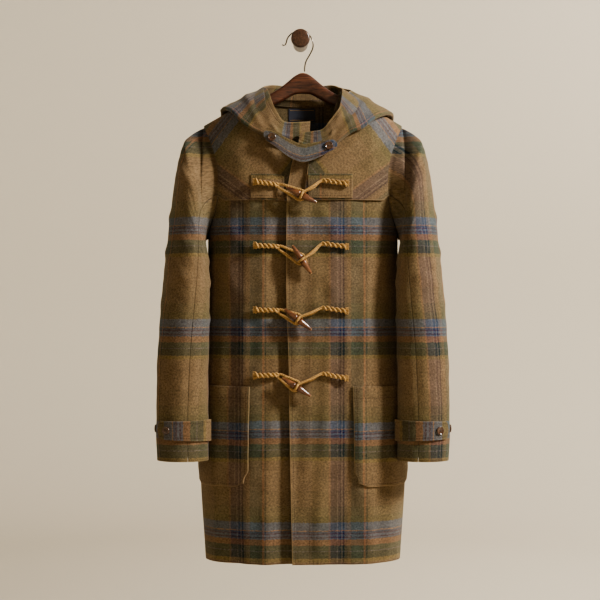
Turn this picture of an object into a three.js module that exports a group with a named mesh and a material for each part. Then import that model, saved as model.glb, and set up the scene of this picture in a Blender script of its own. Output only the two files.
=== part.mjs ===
// A duffle coat on a wooden hanger, which hangs by its wire hook from a round wall peg.
// Millimetres, +Z up. The origin is the middle of the peg's back face, on the wall's plane
// Y = 0. The coat's front faces -Y, and +X is the wearer's left. Heights on the coat are
// given as drops, measured down from the origin.
import * as THREE from "three";

// Driving dimensions
const CLOTH = 3; // thickness of the duffle cloth
const HOOD_CLOTH = 2.4; // the same cloth, pressed where the hood folds on itself
const SEAM = 1; // space between two pieces at a seam
const LAY = 1.2; // space between a piece and the panel that it lies on
const PRESSED = 1.8; // how far the panels are pressed in under the yokes
const MIDDLE = 5; // the coat's centre line, to the right of the peg's
const RIDGE_Y = -62; // the plane of the hanger, the shoulder seams and the side seams
const HEM = 1072; // drop of the hem
const SQUARENESS = 2.6; // exponent of the body's rounded girth section

const SHOULDER = { top: 64, slope: 0.58, ease: 30, frontRoll: 70, backRoll: 50 };
const NECK = { half: 76, front: 236, back: 124 };
const ARMHOLE = { x: 201, flare: 4, hollow: 29, bottom: 410, steps: 12 };
const OVERLAP = { under: -45, sink: 10, from: 36, to: 80 };
const YOKE = { bottom: 340, backBottom: 352, corner: 20, inner: 4 };
const POCKET = { inner: 99, outer: 206, top: 714, bottom: 916, corner: 24 };

// Rows of numbers under named columns
function table(columns, rows) {
  const names = columns.split(" ");
  return rows.map((row) => Object.fromEntries(names.map((name, i) => [name, row[i]])));
}

// The body's girth, from the shoulders to the hem: half its width, and how far the front
// and the back stand from the ridge plane
const BODY = table("drop half front back", [
  [60, 206, 78, 19],
  [180, 206, 86, 22],
  [300, 206, 97, 27],
  [410, 197, 104, 34],
  [535, 201, 109, 41],
  [660, 205, 111, 44],
  [871, 213, 110, 45],
  [1072, 202, 104, 43],
]);

// The front edge of the wearer's left front, which laps over the right
const FRONT_EDGE = table("drop x", [
  [205, -7],
  [236, -13],
  [266, -22],
  [320, -31],
  [380, -33],
  [541, -33],
  [660, -29],
  [843, -26],
  [1072, -21.5],
]);

// The large soft folds of the body: where each one runs, how wide it is and how far it
// stands out, in the front or the back
const FOLDS = table("side top topX bottom bottomX width height", [
  [-1, 150, 150, 330, 128, 15, 3.5],
  [-1, 160, -140, 360, -112, 18, 3],
  [-1, 420, 150, 1100, 128, 26, 4],
  [-1, 400, -152, 1100, -138, 24, -4],
  [-1, 520, 78, 1100, 66, 30, -3],
  [-1, 560, -84, 1100, -76, 28, 3],
  [1, 300, 110, 1100, 96, 30, 3.5],
  [1, 330, -104, 1100, -118, 28, 3.5],
  [1, 360, 20, 1100, 8, 34, -4],
]);

// The sleeve, ring by ring from the armhole to the cuff. Each ring is an ellipse through
// its outer and inner points, with a centre plane, a half depth and a forward turn. The
// first rings are pinched and drawn on to the armhole.
const SLEEVE = table("at outX outDrop inX inDrop centreY deep turn pinch seat", [
  [0, 204.8, 0, 197.6, 409, -88, 50, 0, 29, 1],
  [0.03, 214, 190, 200, 417, -93, 55, 2, 22, 0.6],
  [0.08, 233, 205, 200, 427, -99, 60, 4, 13, 0.25],
  [0.14, 249, 232, 198, 438, -105, 62, 7, 6, 0.05],
  [0.22, 259, 278, 194.5, 453, -111, 62, 10, 1, 0],
  [0.32, 266, 340, 192, 476, -119, 61, 12, 0, 0],
  [0.44, 275, 425, 190, 520, -129, 58, 12, 0, 0],
  [0.56, 284, 520, 189.5, 575, -138, 54, 9, 0, 0],
  [0.68, 291, 615, 190, 640, -144, 50, 5, 0, 0],
  [0.8, 295, 715, 190.5, 725, -147, 47, 2, 0, 0],
  [0.9, 295.5, 790, 190, 792, -148, 45, 0, 0, 0],
  [1, 293.5, 863, 190, 863, -149, 44, 0, 0, 0],
]);

// The hood, section by section from its front corner over the shoulder to the centre
// back: the angle round the neckline where it is sewn on, the place of its outer fold,
// the fold's radius, and the rim of the face opening in space. The fold's place is its
// distance from the centre and along the cloth from the ridge, negative in front.
const HOOD_LEFT = table("at neck foldX fold roll rimX rimY rimDrop", [
  [0, -8, -9.5, -186, 3, -6, -160, 205],
  [0.1, 16, 21, -193, 3, 19, -160, 202],
  [0.2, 38, 50, -174, 4, 40, -160, 197],
  [0.3, 54, 66.6, -157, 5, 55, -159, 179],
  [0.4, 68, 93, -122, 5, 75, -149, 151],
  [0.5, 80, 126.6, -87, 5, 92, -98, 116],
  [0.6, 90, 176, -4, 5, 100, -60, 105],
  [0.7, 108, 172, 77, 8, 84, -33, 97],
  [0.8, 132, 140, 187, 11, 62, -17, 88],
  [0.9, 156, 78, 288, 12, 33, -10, 90],
  [1, 180, 0, 339, 12, 0, -8, 93],
  [1.1, 204, -78, 288, 12, -33, -10, 90],
]);
const HOOD_RIGHT = table("at neck foldX fold roll rimX rimY rimDrop", [
  [0, -12, -13, -174, 3, -15, -141, 180],
  [0.1, 12, 16, -183, 3, 12, -148, 182],
  [0.2, 34, 46, -170, 4, 35, -151, 182],
  [0.3, 54, 75, -137, 5, 46, -155, 173],
  [0.4, 68, 97, -114, 5, 61, -147, 144],
  [0.5, 80, 124, -78, 5, 72, -102, 109],
  [0.6, 90, 158, -3, 5, 82, -60, 98],
  [0.7, 108, 160, 84, 8, 74, -33, 91],
  [0.8, 132, 136, 189, 11, 58, -17, 88],
  [0.9, 156, 78, 288, 12, 33, -10, 90],
  [1, 180, 0, 339, 12, 0, -8, 93],
  [1.1, 204, -78, 288, 12, -33, -10, 90],
]);
const HOOD = { lift: 7.6, underLap: 6, gusset: 0.88, lowerShare: 0.4, foldShare: 0.2 };

// The throat tab: its middle line on the coat and half its width
const TAB = table("at x drop half", [
  [0, -77, 211, 4],
  [0.08, -70, 214, 11],
  [0.2, -55, 221, 14.5],
  [0.4, -28, 239, 18],
  [0.55, -3, 249, 18.3],
  [0.7, 22, 245, 17],
  [0.88, 50, 234.5, 12.5],
  [0.96, 61, 232, 9],
  [1, 67, 232, 3],
]);
const TAB_LIFT = 17.4;
const TAB_BUTTONS = [["right", -61, 217], ["left", 51, 234.5]];

const STRAP = { at: 0.914, half: 0.024, flare: 0.007, inner: 170, outer: 33, standOff: 2.4 };
const CUFF_BUTTONS = [["front", 59, true], ["back", -6, false]];
const BUTTON = { radius: 8.2, thick: 3.2, dish: 1, clear: 0.3 };
const PATCH = { thick: 1.6, clear: 0.8, top: 288, bottom: 337, right: [-104, -38], left: [10, 99] };
const LABEL = { left: -30, right: 26, top: 141.5, bottom: 169, thick: 0.8 };
const FACING = { half: 66, deep: 13, thick: 2 };

// The four toggle fastenings: the groove's place, the toggle's lean in the front plane,
// and the heights of the cord ends, of the loop's split and of the elbow
const TOGGLES = table("grooveX grooveDrop lean loopEnd split elbow cordEnd", [
  [-3, 333, -26.5, 305, 311, 303, 308],
  [-2.5, 461, -56, 432, 434, 429, 434],
  [-10, 580, -37.5, 561, 562, 557, 563],
  [-13, 714, -32.5, 692, 691, 688, 697],
]);
const TOGGLE = { length: 68, radius: 6.6, tip: 2.6, groove: 4.2 };
const CORD = {
  strand: 2.9,
  apart: 2.5,
  loopEndX: -94,
  splitX: -50,
  elbowX: 37,
  endX: 86,
  turns: 2.5,
  tuft: 0.7,
  toSingle: 0.035,
  twistedRings: 0.45,
};

// Where the loops climb from the right front on to the left front's edge
const CLIMB = { from: 58, to: 35 };
// The loop's eye: half widths at shares of its length, and where the cord's end stops
const EYE = {
  widths: [[0.06, 3.4], [0.35, 5.8], [0.7, 8.4], [1, 9.6]],
  lastEnd: [0.24, 5.4],
  past: 10,
  ring: 2.2,
  from: 35,
  to: 345,
};
const HANGER = {
  half: 190,
  height: 47,
  hump: 22,
  humpWidth: 33,
  tipHeight: 17,
  thick: 15,
  tipThick: 19,
  forward: 5,
  bare: 60,
};
const HOOK = { stem: 3.5, wire: 1.65, crook: 28.5, clear: 0.35 };
const PEG = { neck: 15.5, head: 19.5, front: 82, headThick: 15, round: 4 };

// Colours
const COLOURS = {
  cloth: 0x82683f,
  yoke: 0x7d6541,
  hood: 0x77694a,
  trim: 0x6e6a55,
  cord: 0xb9935a,
  horn: 0x5e3a28,
  button: 0x3d2a1f,
  label: 0x1f2740,
  wood: 0x4a2c1e,
  steel: 0xb8b8b8,
};

const vector = (x, y, z) => new THREE.Vector3(x, y, z);
const mix = (a, b, t) => a + (b - a) * t;
const radians = (degrees) => (degrees * Math.PI) / 180;

function smooth(t) {
  const s = Math.min(Math.max(t, 0), 1);
  return s * s * (3 - 2 * s);
}

// Reads a column of a table at any place along its first column, on a smooth curve
function read(rows, at, column) {
  const key = Object.keys(rows[0])[0];
  const last = rows.length - 1;
  const place = Math.min(Math.max(at, rows[0][key]), rows[last][key]);
  let i = 0;
  while (i < last - 1 && place > rows[i + 1][key]) i += 1;
  const slope = (k) => {
    const before = rows[Math.max(k - 1, 0)];
    const after = rows[Math.min(k + 1, last)];
    return (after[column] - before[column]) / (after[key] - before[key]);
  };
  const span = rows[i + 1][key] - rows[i][key];
  const t = (place - rows[i][key]) / span;
  const [a, b] = [rows[i][column], rows[i + 1][column]];
  const ease = t * t * (3 - 2 * t);
  const start = t * (1 - t) ** 2 * slope(i) * span;
  const end = t * t * (1 - t) * slope(i + 1) * span;
  return mix(a, b, ease) + start - end;
}

// Surfaces of the garment

// Drop of the shoulder ridge, which runs on over the neck as a smooth arch
const ridge = (x) => SHOULDER.top + SHOULDER.slope * Math.hypot(x, SHOULDER.ease);

function foldHeight(side, x, drop) {
  let height = 0;
  for (const fold of FOLDS) {
    if (fold.side !== side || drop < fold.top) continue;
    const along = Math.min((drop - fold.top) / (fold.bottom - fold.top), 1.2);
    const middle = mix(fold.topX, fold.bottomX, along);
    const fade = Math.sin(Math.PI * Math.min(along, 1) ** 0.7) ** 0.8 || 0;
    const grows = fold.bottom > HEM ? smooth(along * 1.6) : fade;
    height += fold.height * grows * Math.exp(-(((x - middle) / fold.width) ** 2));
  }
  return height;
}

// A point of the body's outer surface, on the front (side -1) or the back (side 1)
function bodyPoint(side, x, drop) {
  const half = read(BODY, drop, "half");
  const across = Math.min(Math.abs(x) / half, 1);
  const roll = side < 0 ? SHOULDER.frontRoll : SHOULDER.backRoll;
  const below = Math.min(Math.max(drop - ridge(x), 0) / roll, 1);
  const cap = Math.sqrt(1 - (1 - below) ** 2);
  const round = (1 - across ** SQUARENESS) ** (1 / SQUARENESS);
  const deep = read(BODY, drop, side < 0 ? "front" : "back") + foldHeight(side, x, drop);
  return vector(x, RIDGE_Y + side * (SEAM / 2 + deep * cap * round), -drop);
}

// The same surface by girth angle q, from -1 to 1 between the side seams
function girthPoint(side, q, drop) {
  return bodyPoint(side, read(BODY, drop, "half") * Math.sin((q * Math.PI) / 2), drop);
}

const girthAngle = (x, drop) =>
  (Math.asin(Math.min(Math.max(x / read(BODY, drop, "half"), -1), 1)) * 2) / Math.PI;

// Outward normal of a surface given by two parameters, from two short steps
function normalOf(surface, a, b, outward) {
  const step = 0.0004;
  const p = surface(a, b);
  const alongA = surface(a + step, b).sub(surface(a - step, b));
  const alongB = surface(a, b + step).sub(surface(a, b - step));
  const normal = alongA.cross(alongB).normalize();
  return normal.dot(outward(p)) < 0 ? normal.negate() : normal;
}

// A girth place and its normal. Steps past a side seam or the ridge would leave the
// surface, so the place is moved in by a step first.
function onBody(side, q, drop) {
  const point = girthPoint(side, q, drop);
  const near = Math.min(Math.max(q, -0.999), 0.999);
  const low = Math.max(drop, ridge(point.x) + 0.02);
  const surface = (a, b) => girthPoint(side, a, low + (b - low) * 20);
  const outward = (p) => vector(p.x, (p.y - RIDGE_Y) * 2 + side, 20);
  return { point, normal: normalOf(surface, near, low, outward) };
}

// Edges of the body's panels

const frontEdge = (drop) => read(FRONT_EDGE, drop, "x");

function neckDrop(x, lowest) {
  const across = Math.min(Math.abs(x) / NECK.half, 1);
  return mix(ridge(NECK.half), lowest, Math.sqrt(1 - across * across));
}

// The armhole, by its drop, on the front and the back alike
function armholeX(drop) {
  const top = ridge(ARMHOLE.x + ARMHOLE.flare);
  const c = Math.min(Math.max(((top + ARMHOLE.bottom) / 2 - drop) / ((ARMHOLE.bottom - top) / 2), -1), 1);
  return ARMHOLE.x + ARMHOLE.flare * c - ARMHOLE.hollow * (1 - c * c);
}

// Row places down a panel: the armhole's own steps, then even rows to the hem
function panelRows(armholeShare, lower) {
  const rows = [];
  for (let i = 0; i <= ARMHOLE.steps; i += 1) {
    rows.push((armholeShare * (1 - Math.cos((Math.PI * i) / ARMHOLE.steps))) / 2);
  }
  for (let i = 1; i <= lower; i += 1) rows.push(mix(armholeShare, 1, i / lower));
  return rows;
}

const even = (count) => Array.from({ length: count + 1 }, (_, i) => i / count);

// A wall between two offsets of a surface. "at" gives a place and its normal for u and v.
function wall({ us, vs, at, low, high, loop = false }) {
  const columns = us.length - (loop ? 1 : 0);
  const rows = vs.length;
  const points = [];
  for (const offset of [high, low]) {
    for (const v of vs) {
      for (const u of us.slice(0, columns)) {
        const { point, normal } = at(u, v);
        const reach = typeof offset === "function" ? offset(u, v) : offset;
        points.push(point.clone().addScaledVector(normal, reach));
      }
    }
  }
  const id = (layer, i, j) => layer * rows * columns + j * columns + (i % columns);
  const faces = [];
  const quad = (a, b, c, d) => faces.push(a, b, c, a, c, d);
  const spans = loop ? columns : columns - 1;
  for (let j = 0; j < rows - 1; j += 1) {
    for (let i = 0; i < spans; i += 1) {
      quad(id(0, i, j), id(0, i + 1, j), id(0, i + 1, j + 1), id(0, i, j + 1));
      quad(id(1, i, j), id(1, i, j + 1), id(1, i + 1, j + 1), id(1, i + 1, j));
    }
  }
  for (let i = 0; i < spans; i += 1) {
    quad(id(0, i + 1, 0), id(0, i, 0), id(1, i, 0), id(1, i + 1, 0));
    quad(id(0, i, rows - 1), id(0, i + 1, rows - 1), id(1, i + 1, rows - 1), id(1, i, rows - 1));
  }
  for (let j = 0; j < rows - 1 && !loop; j += 1) {
    quad(id(0, 0, j), id(0, 0, j + 1), id(1, 0, j + 1), id(1, 0, j));
    const end = columns - 1;
    quad(id(0, end, j + 1), id(0, end, j), id(1, end, j), id(1, end, j + 1));
  }
  return closedGeometry(points, faces);
}

// A geometry whose faces point outwards
function closedGeometry(points, faces) {
  let volume = 0;
  for (let i = 0; i < faces.length; i += 3) {
    const [a, b, c] = faces.slice(i, i + 3).map((k) => points[k]);
    volume += a.dot(b.clone().cross(c));
  }
  const turned = [];
  for (let i = 0; i < faces.length; i += 3) {
    const [a, b, c] = faces.slice(i, i + 3);
    turned.push(...(volume < 0 ? [a, c, b] : [a, b, c]));
  }
  const geometry = new THREE.BufferGeometry();
  const numbers = points.flatMap((p) => p.toArray());
  geometry.setAttribute("position", new THREE.Float32BufferAttribute(numbers, 3));
  geometry.setIndex(turned);
  geometry.computeVertexNormals();
  return geometry;
}

const group = new THREE.Group();
const coat = new THREE.Group();
coat.position.x = MIDDLE;
group.add(coat);

function add(parent, name, geometry, colour, roughness = 0.95, metalness = 0) {
  const material = new THREE.MeshStandardMaterial({ color: colour, roughness, metalness });
  const mesh = new THREE.Mesh(geometry, material);
  mesh.name = name;
  parent.add(mesh);
}

// Fronts and back

// Space under the left front's overlap, which the right front and what lies on it drop
// back into. "x" is measured from the centre towards the wearer's right.
const sink = (x) => OVERLAP.sink * (1 - smooth((x - OVERLAP.from) / (OVERLAP.to - OVERLAP.from)));

const pressed = (x, drop) =>
  PRESSED * (1 - smooth((drop - YOKE.bottom + 40) / 30)) * (1 - smooth((Math.abs(x) - 176) / 24));

// Columns across the panels, one of them at the neck's shoulder point
const NECK_SHARE = 0.38;
const FRONT_COLUMNS = [0, 0.13, 0.25, 0.32, NECK_SHARE, 0.47, 0.56, 0.65, 0.74, 0.83, 0.92, 1];
const BACK_COLUMNS = [0, 0.13, 0.26, NECK_SHARE, 0.5, 0.63, 0.76, 0.88, 1];

// Places of a front panel for u across, from its front edge, and v down. "hand" is 1 for
// the wearer's left and -1 for the right, and distances run outwards from the centre.
function frontPlace({ edge, armholeShare, hem, inset, innerTop }) {
  const shoulderX = ARMHOLE.x + ARMHOLE.flare - inset;
  return (u, v) => {
    const top = (s) => {
      if (s < NECK_SHARE) {
        const start = Math.asin(innerTop / NECK.half);
        const x = NECK.half * Math.sin(mix(start, Math.PI / 2, s / NECK_SHARE));
        return [x, neckDrop(x, NECK.front)];
      }
      const x = mix(NECK.half, shoulderX, (s - NECK_SHARE) / (1 - NECK_SHARE));
      return [x, ridge(x)];
    };
    const startDrop = top(0)[1];
    const leftDrop = mix(startDrop, hem, v);
    const left = [edge(leftDrop, v), leftDrop];
    const bottom = Math.min(ARMHOLE.bottom, hem);
    const isArmhole = v <= armholeShare;
    const rightDrop = isArmhole
      ? mix(ridge(shoulderX), bottom, v / armholeShare)
      : mix(bottom, hem, (v - armholeShare) / (1 - armholeShare));
    const rightX = isArmhole
      ? armholeX(rightDrop) - inset * (1 - smooth((rightDrop - ARMHOLE.bottom + 20) / 20))
      : read(BODY, rightDrop, "half");
    const right = [rightX, rightDrop];
    const here = top(u);
    const fade = Math.max(1 - v / 0.6, 0) ** 2;
    const first = top(0);
    const last = top(1);
    return [0, 1].map((k) => {
      const straight = mix(first[k], last[k], u);
      return mix(left[k], right[k], u) + fade * (here[k] - straight);
    });
  };
}

// Turns a place of a panel into a point on the body, on the wearer's left or right
function onFront(hand, x, drop) {
  return onBody(-1, hand * girthAngle(x, drop), drop);
}

function frontPanel(hand) {
  const edge = hand > 0 ? frontEdge : () => OVERLAP.under;
  const start = hand > 0 ? frontEdge(NECK.front) : OVERLAP.under;
  const share = 0.21;
  const place = frontPlace({ edge, armholeShare: share, hem: HEM, inset: 1, innerTop: start });
  const drawnIn = (u, v) => {
    const [x, drop] = place(u, v);
    return pressed(x, drop) + (hand > 0 ? 0 : sink(x));
  };
  return wall({
    us: FRONT_COLUMNS,
    vs: panelRows(share, 8),
    at: (u, v) => onFront(hand, ...place(u, v)),
    low: (u, v) => -CLOTH - drawnIn(u, v),
    high: (u, v) => -drawnIn(u, v),
  });
}

add(coat, "front_left", frontPanel(1), COLOURS.cloth);
add(coat, "front_right", frontPanel(-1), COLOURS.cloth);

// The back, from armhole to armhole and from the back neck to the hem
function backPlace({ hem, inset, armholeShare }) {
  const shoulderX = ARMHOLE.x + ARMHOLE.flare - inset;
  return (u, v) => {
    const hand = Math.sign(u) || 1;
    const s = Math.abs(u);
    const x = s < NECK_SHARE
      ? NECK.half * Math.sin((Math.PI / 2) * (s / NECK_SHARE))
      : mix(NECK.half, shoulderX, (s - NECK_SHARE) / (1 - NECK_SHARE));
    const top = [x, s < NECK_SHARE ? neckDrop(x, NECK.back) : ridge(x)];
    const bottom = Math.min(ARMHOLE.bottom, hem);
    const isArmhole = v <= armholeShare;
    const sideDrop = isArmhole
      ? mix(ridge(shoulderX), bottom, v / armholeShare)
      : mix(bottom, hem, (v - armholeShare) / (1 - armholeShare));
    const sideX = isArmhole
      ? armholeX(sideDrop) - inset * (1 - smooth((sideDrop - ARMHOLE.bottom + 20) / 20))
      : read(BODY, sideDrop, "half");
    const centreDrop = mix(NECK.back, hem, v);
    const fade = Math.max(1 - v / 0.6, 0) ** 2;
    const drop = mix(centreDrop, sideDrop, s) + fade * (top[1] - mix(NECK.back, ridge(shoulderX), s));
    const reach = sideX * s + fade * (top[0] - shoulderX * s);
    return [hand * reach, drop];
  };
}

const mirrored = (shares) => [...shares.slice(1).map((s) => -s).reverse(), ...shares];
const mirroredColumns = (count) => Array.from({ length: 2 * count + 1 }, (_, i) => i / count - 1);

function onBack(x, drop) {
  return onBody(1, girthAngle(x, drop), drop);
}

function backPanel() {
  const share = 0.23;
  const place = backPlace({ hem: HEM, inset: 1, armholeShare: share });
  return wall({
    us: mirrored(BACK_COLUMNS),
    vs: panelRows(share, 8),
    at: (u, v) => onBack(...place(u, v)),
    low: (u, v) => -CLOTH - pressed(...place(u, v)),
    high: (u, v) => -pressed(...place(u, v)),
  });
}

add(coat, "back", backPanel(), COLOURS.cloth);

// Yokes, which lie over the shoulders

// Rows of a yoke down to its lower edge, on the armhole's own steps
function yokeRows(bottom) {
  const top = ridge(ARMHOLE.x + ARMHOLE.flare);
  const rows = [];
  for (let i = 0; i < ARMHOLE.steps; i += 1) {
    const drop = mix(top, ARMHOLE.bottom, (1 - Math.cos((Math.PI * i) / ARMHOLE.steps)) / 2);
    if (drop < bottom - 12) rows.push((drop - top) / (bottom - top));
  }
  return [...rows, 1];
}

// Rounds the lower outer corner of a patch: "side" and "end" run from 0 to 1 towards it
function cornered(x, drop, side, end, corner) {
  const both = Math.max(side + end - 1, 0);
  return [x - corner * 0.3 * smooth(both), drop - corner * 0.3 * smooth(both)];
}

function frontYoke(hand) {
  const inner = (drop) => (hand > 0 ? YOKE.inner + 6 * smooth((330 - drop) / 70) : -20);
  const innerTop = hand > 0 ? YOKE.inner + 6 : -20;
  const place = frontPlace({ edge: inner, armholeShare: 1, hem: YOKE.bottom, inset: 2.2, innerTop });
  const rounded = (u, v) => {
    const [x, drop] = place(u, v);
    const end = Math.max(v - 0.8, 0) / 0.2;
    const side = Math.max(u - 0.85, 0) / 0.15;
    return cornered(x, drop, side, end, YOKE.corner);
  };
  const drawnIn = (u, v) => (hand > 0 ? 0 : sink(place(u, v)[0]));
  return wall({
    us: FRONT_COLUMNS,
    vs: yokeRows(YOKE.bottom),
    at: (u, v) => onFront(hand, ...rounded(u, v)),
    low: (u, v) => LAY - drawnIn(u, v),
    high: (u, v) => LAY + CLOTH - drawnIn(u, v),
  });
}

add(coat, "yoke_left", frontYoke(1), COLOURS.yoke);
add(coat, "yoke_right", frontYoke(-1), COLOURS.yoke);

function backYoke() {
  const place = backPlace({ hem: YOKE.backBottom, inset: 2.2, armholeShare: 1 });
  return wall({
    us: mirrored(BACK_COLUMNS),
    vs: yokeRows(YOKE.backBottom),
    at: (u, v) => onBack(...place(u, v)),
    low: LAY,
    high: LAY + CLOTH,
  });
}

add(coat, "yoke_back", backYoke(), COLOURS.yoke);

// Sleeves, each in an outer and an under piece

function sleevePoint(hand, angle, at) {
  const get = (column) => read(SLEEVE, at, column);
  const outDrop = at === 0 ? ridge(ARMHOLE.x + ARMHOLE.flare) : get("outDrop");
  const c = Math.cos(angle);
  const k = Math.sin(angle);
  const x = mix(get("inX"), get("outX"), (1 + c) / 2) - get("turn") * k - get("pinch") * k * k;
  const drop = mix(get("inDrop"), outDrop, (1 + c) / 2);
  const seat = Math.max(get("seat"), 0);
  const own = get("centreY") - get("deep") * k;
  const seated = bodyPoint(k >= 0 ? -1 : 1, x, drop).y;
  return vector(hand * x, mix(own, seated, seat), -drop);
}

function onSleeve(hand, angle, at) {
  const point = sleevePoint(hand, angle, at);
  if (at === 0) {
    const side = Math.sin(angle) >= 0 ? -1 : 1;
    return { point, normal: onBody(side, hand * girthAngle(Math.abs(point.x), -point.z), -point.z).normal };
  }
  const near = Math.min(at, 0.999);
  const centre = sleevePoint(hand, 0, near).add(sleevePoint(hand, Math.PI, near)).multiplyScalar(0.5);
  const surface = (a, b) => sleevePoint(hand, a, b);
  return { point, normal: normalOf(surface, angle, near, (p) => p.sub(centre)) };
}

SLEEVE[0].outDrop = ridge(ARMHOLE.x + ARMHOLE.flare);

function sleevePiece(hand, from, to, steps) {
  const gap = radians(0.35);
  return wall({
    us: even(steps),
    vs: SLEEVE.map((row) => row.at),
    at: (u, v) => onSleeve(hand, mix(radians(from) + gap, radians(to) - gap, u), v),
    low: -CLOTH,
    high: 0,
  });
}

const HANDS = [["left", 1], ["right", -1]];
for (const [name, hand] of HANDS) {
  add(coat, "sleeve_top_" + name, sleevePiece(hand, -105, 105, 14), COLOURS.cloth);
  add(coat, "sleeve_under_" + name, sleevePiece(hand, 105, 255, 10), COLOURS.cloth);
}

// Hood

// A place along the cloth from the ridge, negative in front, turned into a side and drop
function overRidge(x, along) {
  const side = along < 0 ? -1 : 1;
  const roll = side < 0 ? SHOULDER.frontRoll : SHOULDER.backRoll;
  const angle = Math.min(Math.abs(along) / roll, Math.PI / 2);
  const straight = Math.max(Math.abs(along) - (roll * Math.PI) / 2, 0);
  return [side, ridge(x) + roll * (1 - Math.cos(angle)) + straight];
}

function alongFromRidge(side, x, drop) {
  const roll = side < 0 ? SHOULDER.frontRoll : SHOULDER.backRoll;
  const below = Math.max(drop - ridge(x), 0);
  const along = below < roll ? roll * Math.acos(1 - below / roll) : below - roll + (roll * Math.PI) / 2;
  return side * along;
}

// The neckline by angle: 0 at the centre front, 90 at the shoulder, 180 at the centre back
function neckline(angle) {
  const x = NECK.half * Math.sin(radians(angle));
  const inFront = angle < 90;
  const drop = neckDrop(x, inFront ? NECK.front : NECK.back);
  return [x, alongFromRidge(inFront ? -1 : 1, x, drop)];
}

// The hood's section at a place round the neck: the under layer from the neckline out to
// the fold, the fold, and the upper layer back to the rim of the face opening
function hoodPoint(hand, at, t) {
  const rows = hand > 0 ? HOOD_LEFT : HOOD_RIGHT;
  const get = (column) => read(rows, at, column);
  const [neckX, seamAlong] = neckline(get("neck"));
  const neckAlong = seamAlong + (hand < 0 ? HOOD.underLap * smooth(1 - at / 0.3) : 0);
  const lying = (s, lift) => {
    const x = mix(neckX, get("foldX"), s);
    const [side, drop] = overRidge(x, mix(neckAlong, get("fold"), s));
    const { point, normal } = onBody(side, girthAngle(x, drop), drop);
    const sunk = hand < 0 && side < 0 ? sink(x) * smooth((drop - 150) / 60) : 0;
    return { point: point.addScaledVector(normal, HOOD.lift + lift - sunk), normal };
  };
  const roll = get("roll");
  const upperFrom = HOOD.lowerShare + HOOD.foldShare;
  let place;
  if (t <= HOOD.lowerShare) {
    place = lying(t / HOOD.lowerShare, 0).point;
  } else if (t < upperFrom) {
    const turn = mix(-Math.PI / 2, Math.PI / 2, (t - HOOD.lowerShare) / HOOD.foldShare);
    const { point, normal } = lying(1, roll);
    const outwards = lying(1, roll).point.sub(lying(0.96, roll).point).normalize();
    place = point
      .addScaledVector(outwards, roll * Math.cos(turn))
      .addScaledVector(normal, roll * Math.sin(turn));
  } else {
    const s = 1 - (t - upperFrom) / (1 - upperFrom);
    const straight = (from, to) => from.clone().lerp(to, s);
    const neck = lying(0, 0).point;
    const fold = lying(1, 0).point;
    const bulge = lying(s, 0).point.sub(straight(neck, fold));
    const rim = vector(get("rimX"), get("rimY"), -get("rimDrop"));
    place = straight(rim, lying(1, 2 * roll).point).add(bulge);
  }
  return vector(hand * place.x, place.y, place.z);
}

function onHood(hand, at, t) {
  const point = hoodPoint(hand, at, t);
  const near = [Math.min(Math.max(at, 0.001), 1.05), Math.min(Math.max(t, 0.001), 0.999)];
  const step = 0.0008;
  const round = hoodPoint(hand, near[0] + step, near[1]).sub(hoodPoint(hand, near[0] - step, near[1]));
  const across = hoodPoint(hand, near[0], near[1] + step).sub(hoodPoint(hand, near[0], near[1] - step));
  return { point, normal: round.cross(across).normalize().multiplyScalar(hand) };
}

// Closer together where the hood turns over the shoulder
const HOOD_COLUMNS = [
  0, 0.1, 0.2, 0.29, 0.37, 0.43, 0.48, 0.52, 0.56, 0.6, 0.62, 0.64, 0.66, 0.69, 0.74, 0.81,
];
const HOOD_STEPS = [0, 0.035, 0.08, 0.15, 0.25, 0.4, 0.45, 0.5, 0.55, 0.6, 0.72, 0.86, 1];

function hoodSide(hand) {
  return wall({
    us: [...HOOD_COLUMNS, HOOD.gusset - 0.0008],
    vs: HOOD_STEPS,
    at: (u, v) => onHood(hand, u, v),
    low: -HOOD_CLOTH,
    high: 0,
  });
}

for (const [name, hand] of HANDS) add(coat, "hood_" + name, hoodSide(hand), COLOURS.hood);

function hoodGusset() {
  return wall({
    us: mirroredColumns(3),
    vs: HOOD_STEPS,
    at: (u, v) => onHood(u < 0 ? -1 : 1, mix(1, HOOD.gusset + 0.0008, Math.abs(u)), v),
    low: -HOOD_CLOTH,
    high: 0,
  });
}

add(coat, "hood_centre", hoodGusset(), COLOURS.hood);

// Throat tab, pockets, cuff straps and the pieces at the back neck

function throatTab() {
  const place = (u, v) => {
    const x = read(TAB, u, "x");
    const drop = read(TAB, u, "drop") + read(TAB, u, "half") * (2 * v - 1);
    return onBody(-1, girthAngle(x, drop), drop);
  };
  return wall({
    us: even(14),
    vs: even(3),
    at: place,
    low: TAB_LIFT,
    high: TAB_LIFT + CLOTH,
  });
}

add(coat, "throat_tab", throatTab(), COLOURS.trim);

function pocket(hand) {
  const from = girthAngle(POCKET.inner + (hand > 0 ? 0 : 6), POCKET.top);
  const to = girthAngle(POCKET.outer, POCKET.top);
  const place = (u, v) => {
    const both = Math.max(Math.abs(2 * u - 1) + v - 1, 0) * smooth(v * 2 - 1);
    const cut = POCKET.corner * 0.3 * smooth((both - 0.6) / 0.4);
    const q = mix(from, to, u) + ((0.5 - u) * cut) / 110;
    const drop = mix(POCKET.top, POCKET.bottom, v) - cut;
    return onBody(-1, hand * q, drop);
  };
  return wall({ us: even(8), vs: [0, 0.3, 0.6, 0.85, 1], at: place, low: LAY, high: LAY + CLOTH });
}

for (const [name, hand] of HANDS) add(coat, "pocket_" + name, pocket(hand), COLOURS.cloth);

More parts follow.
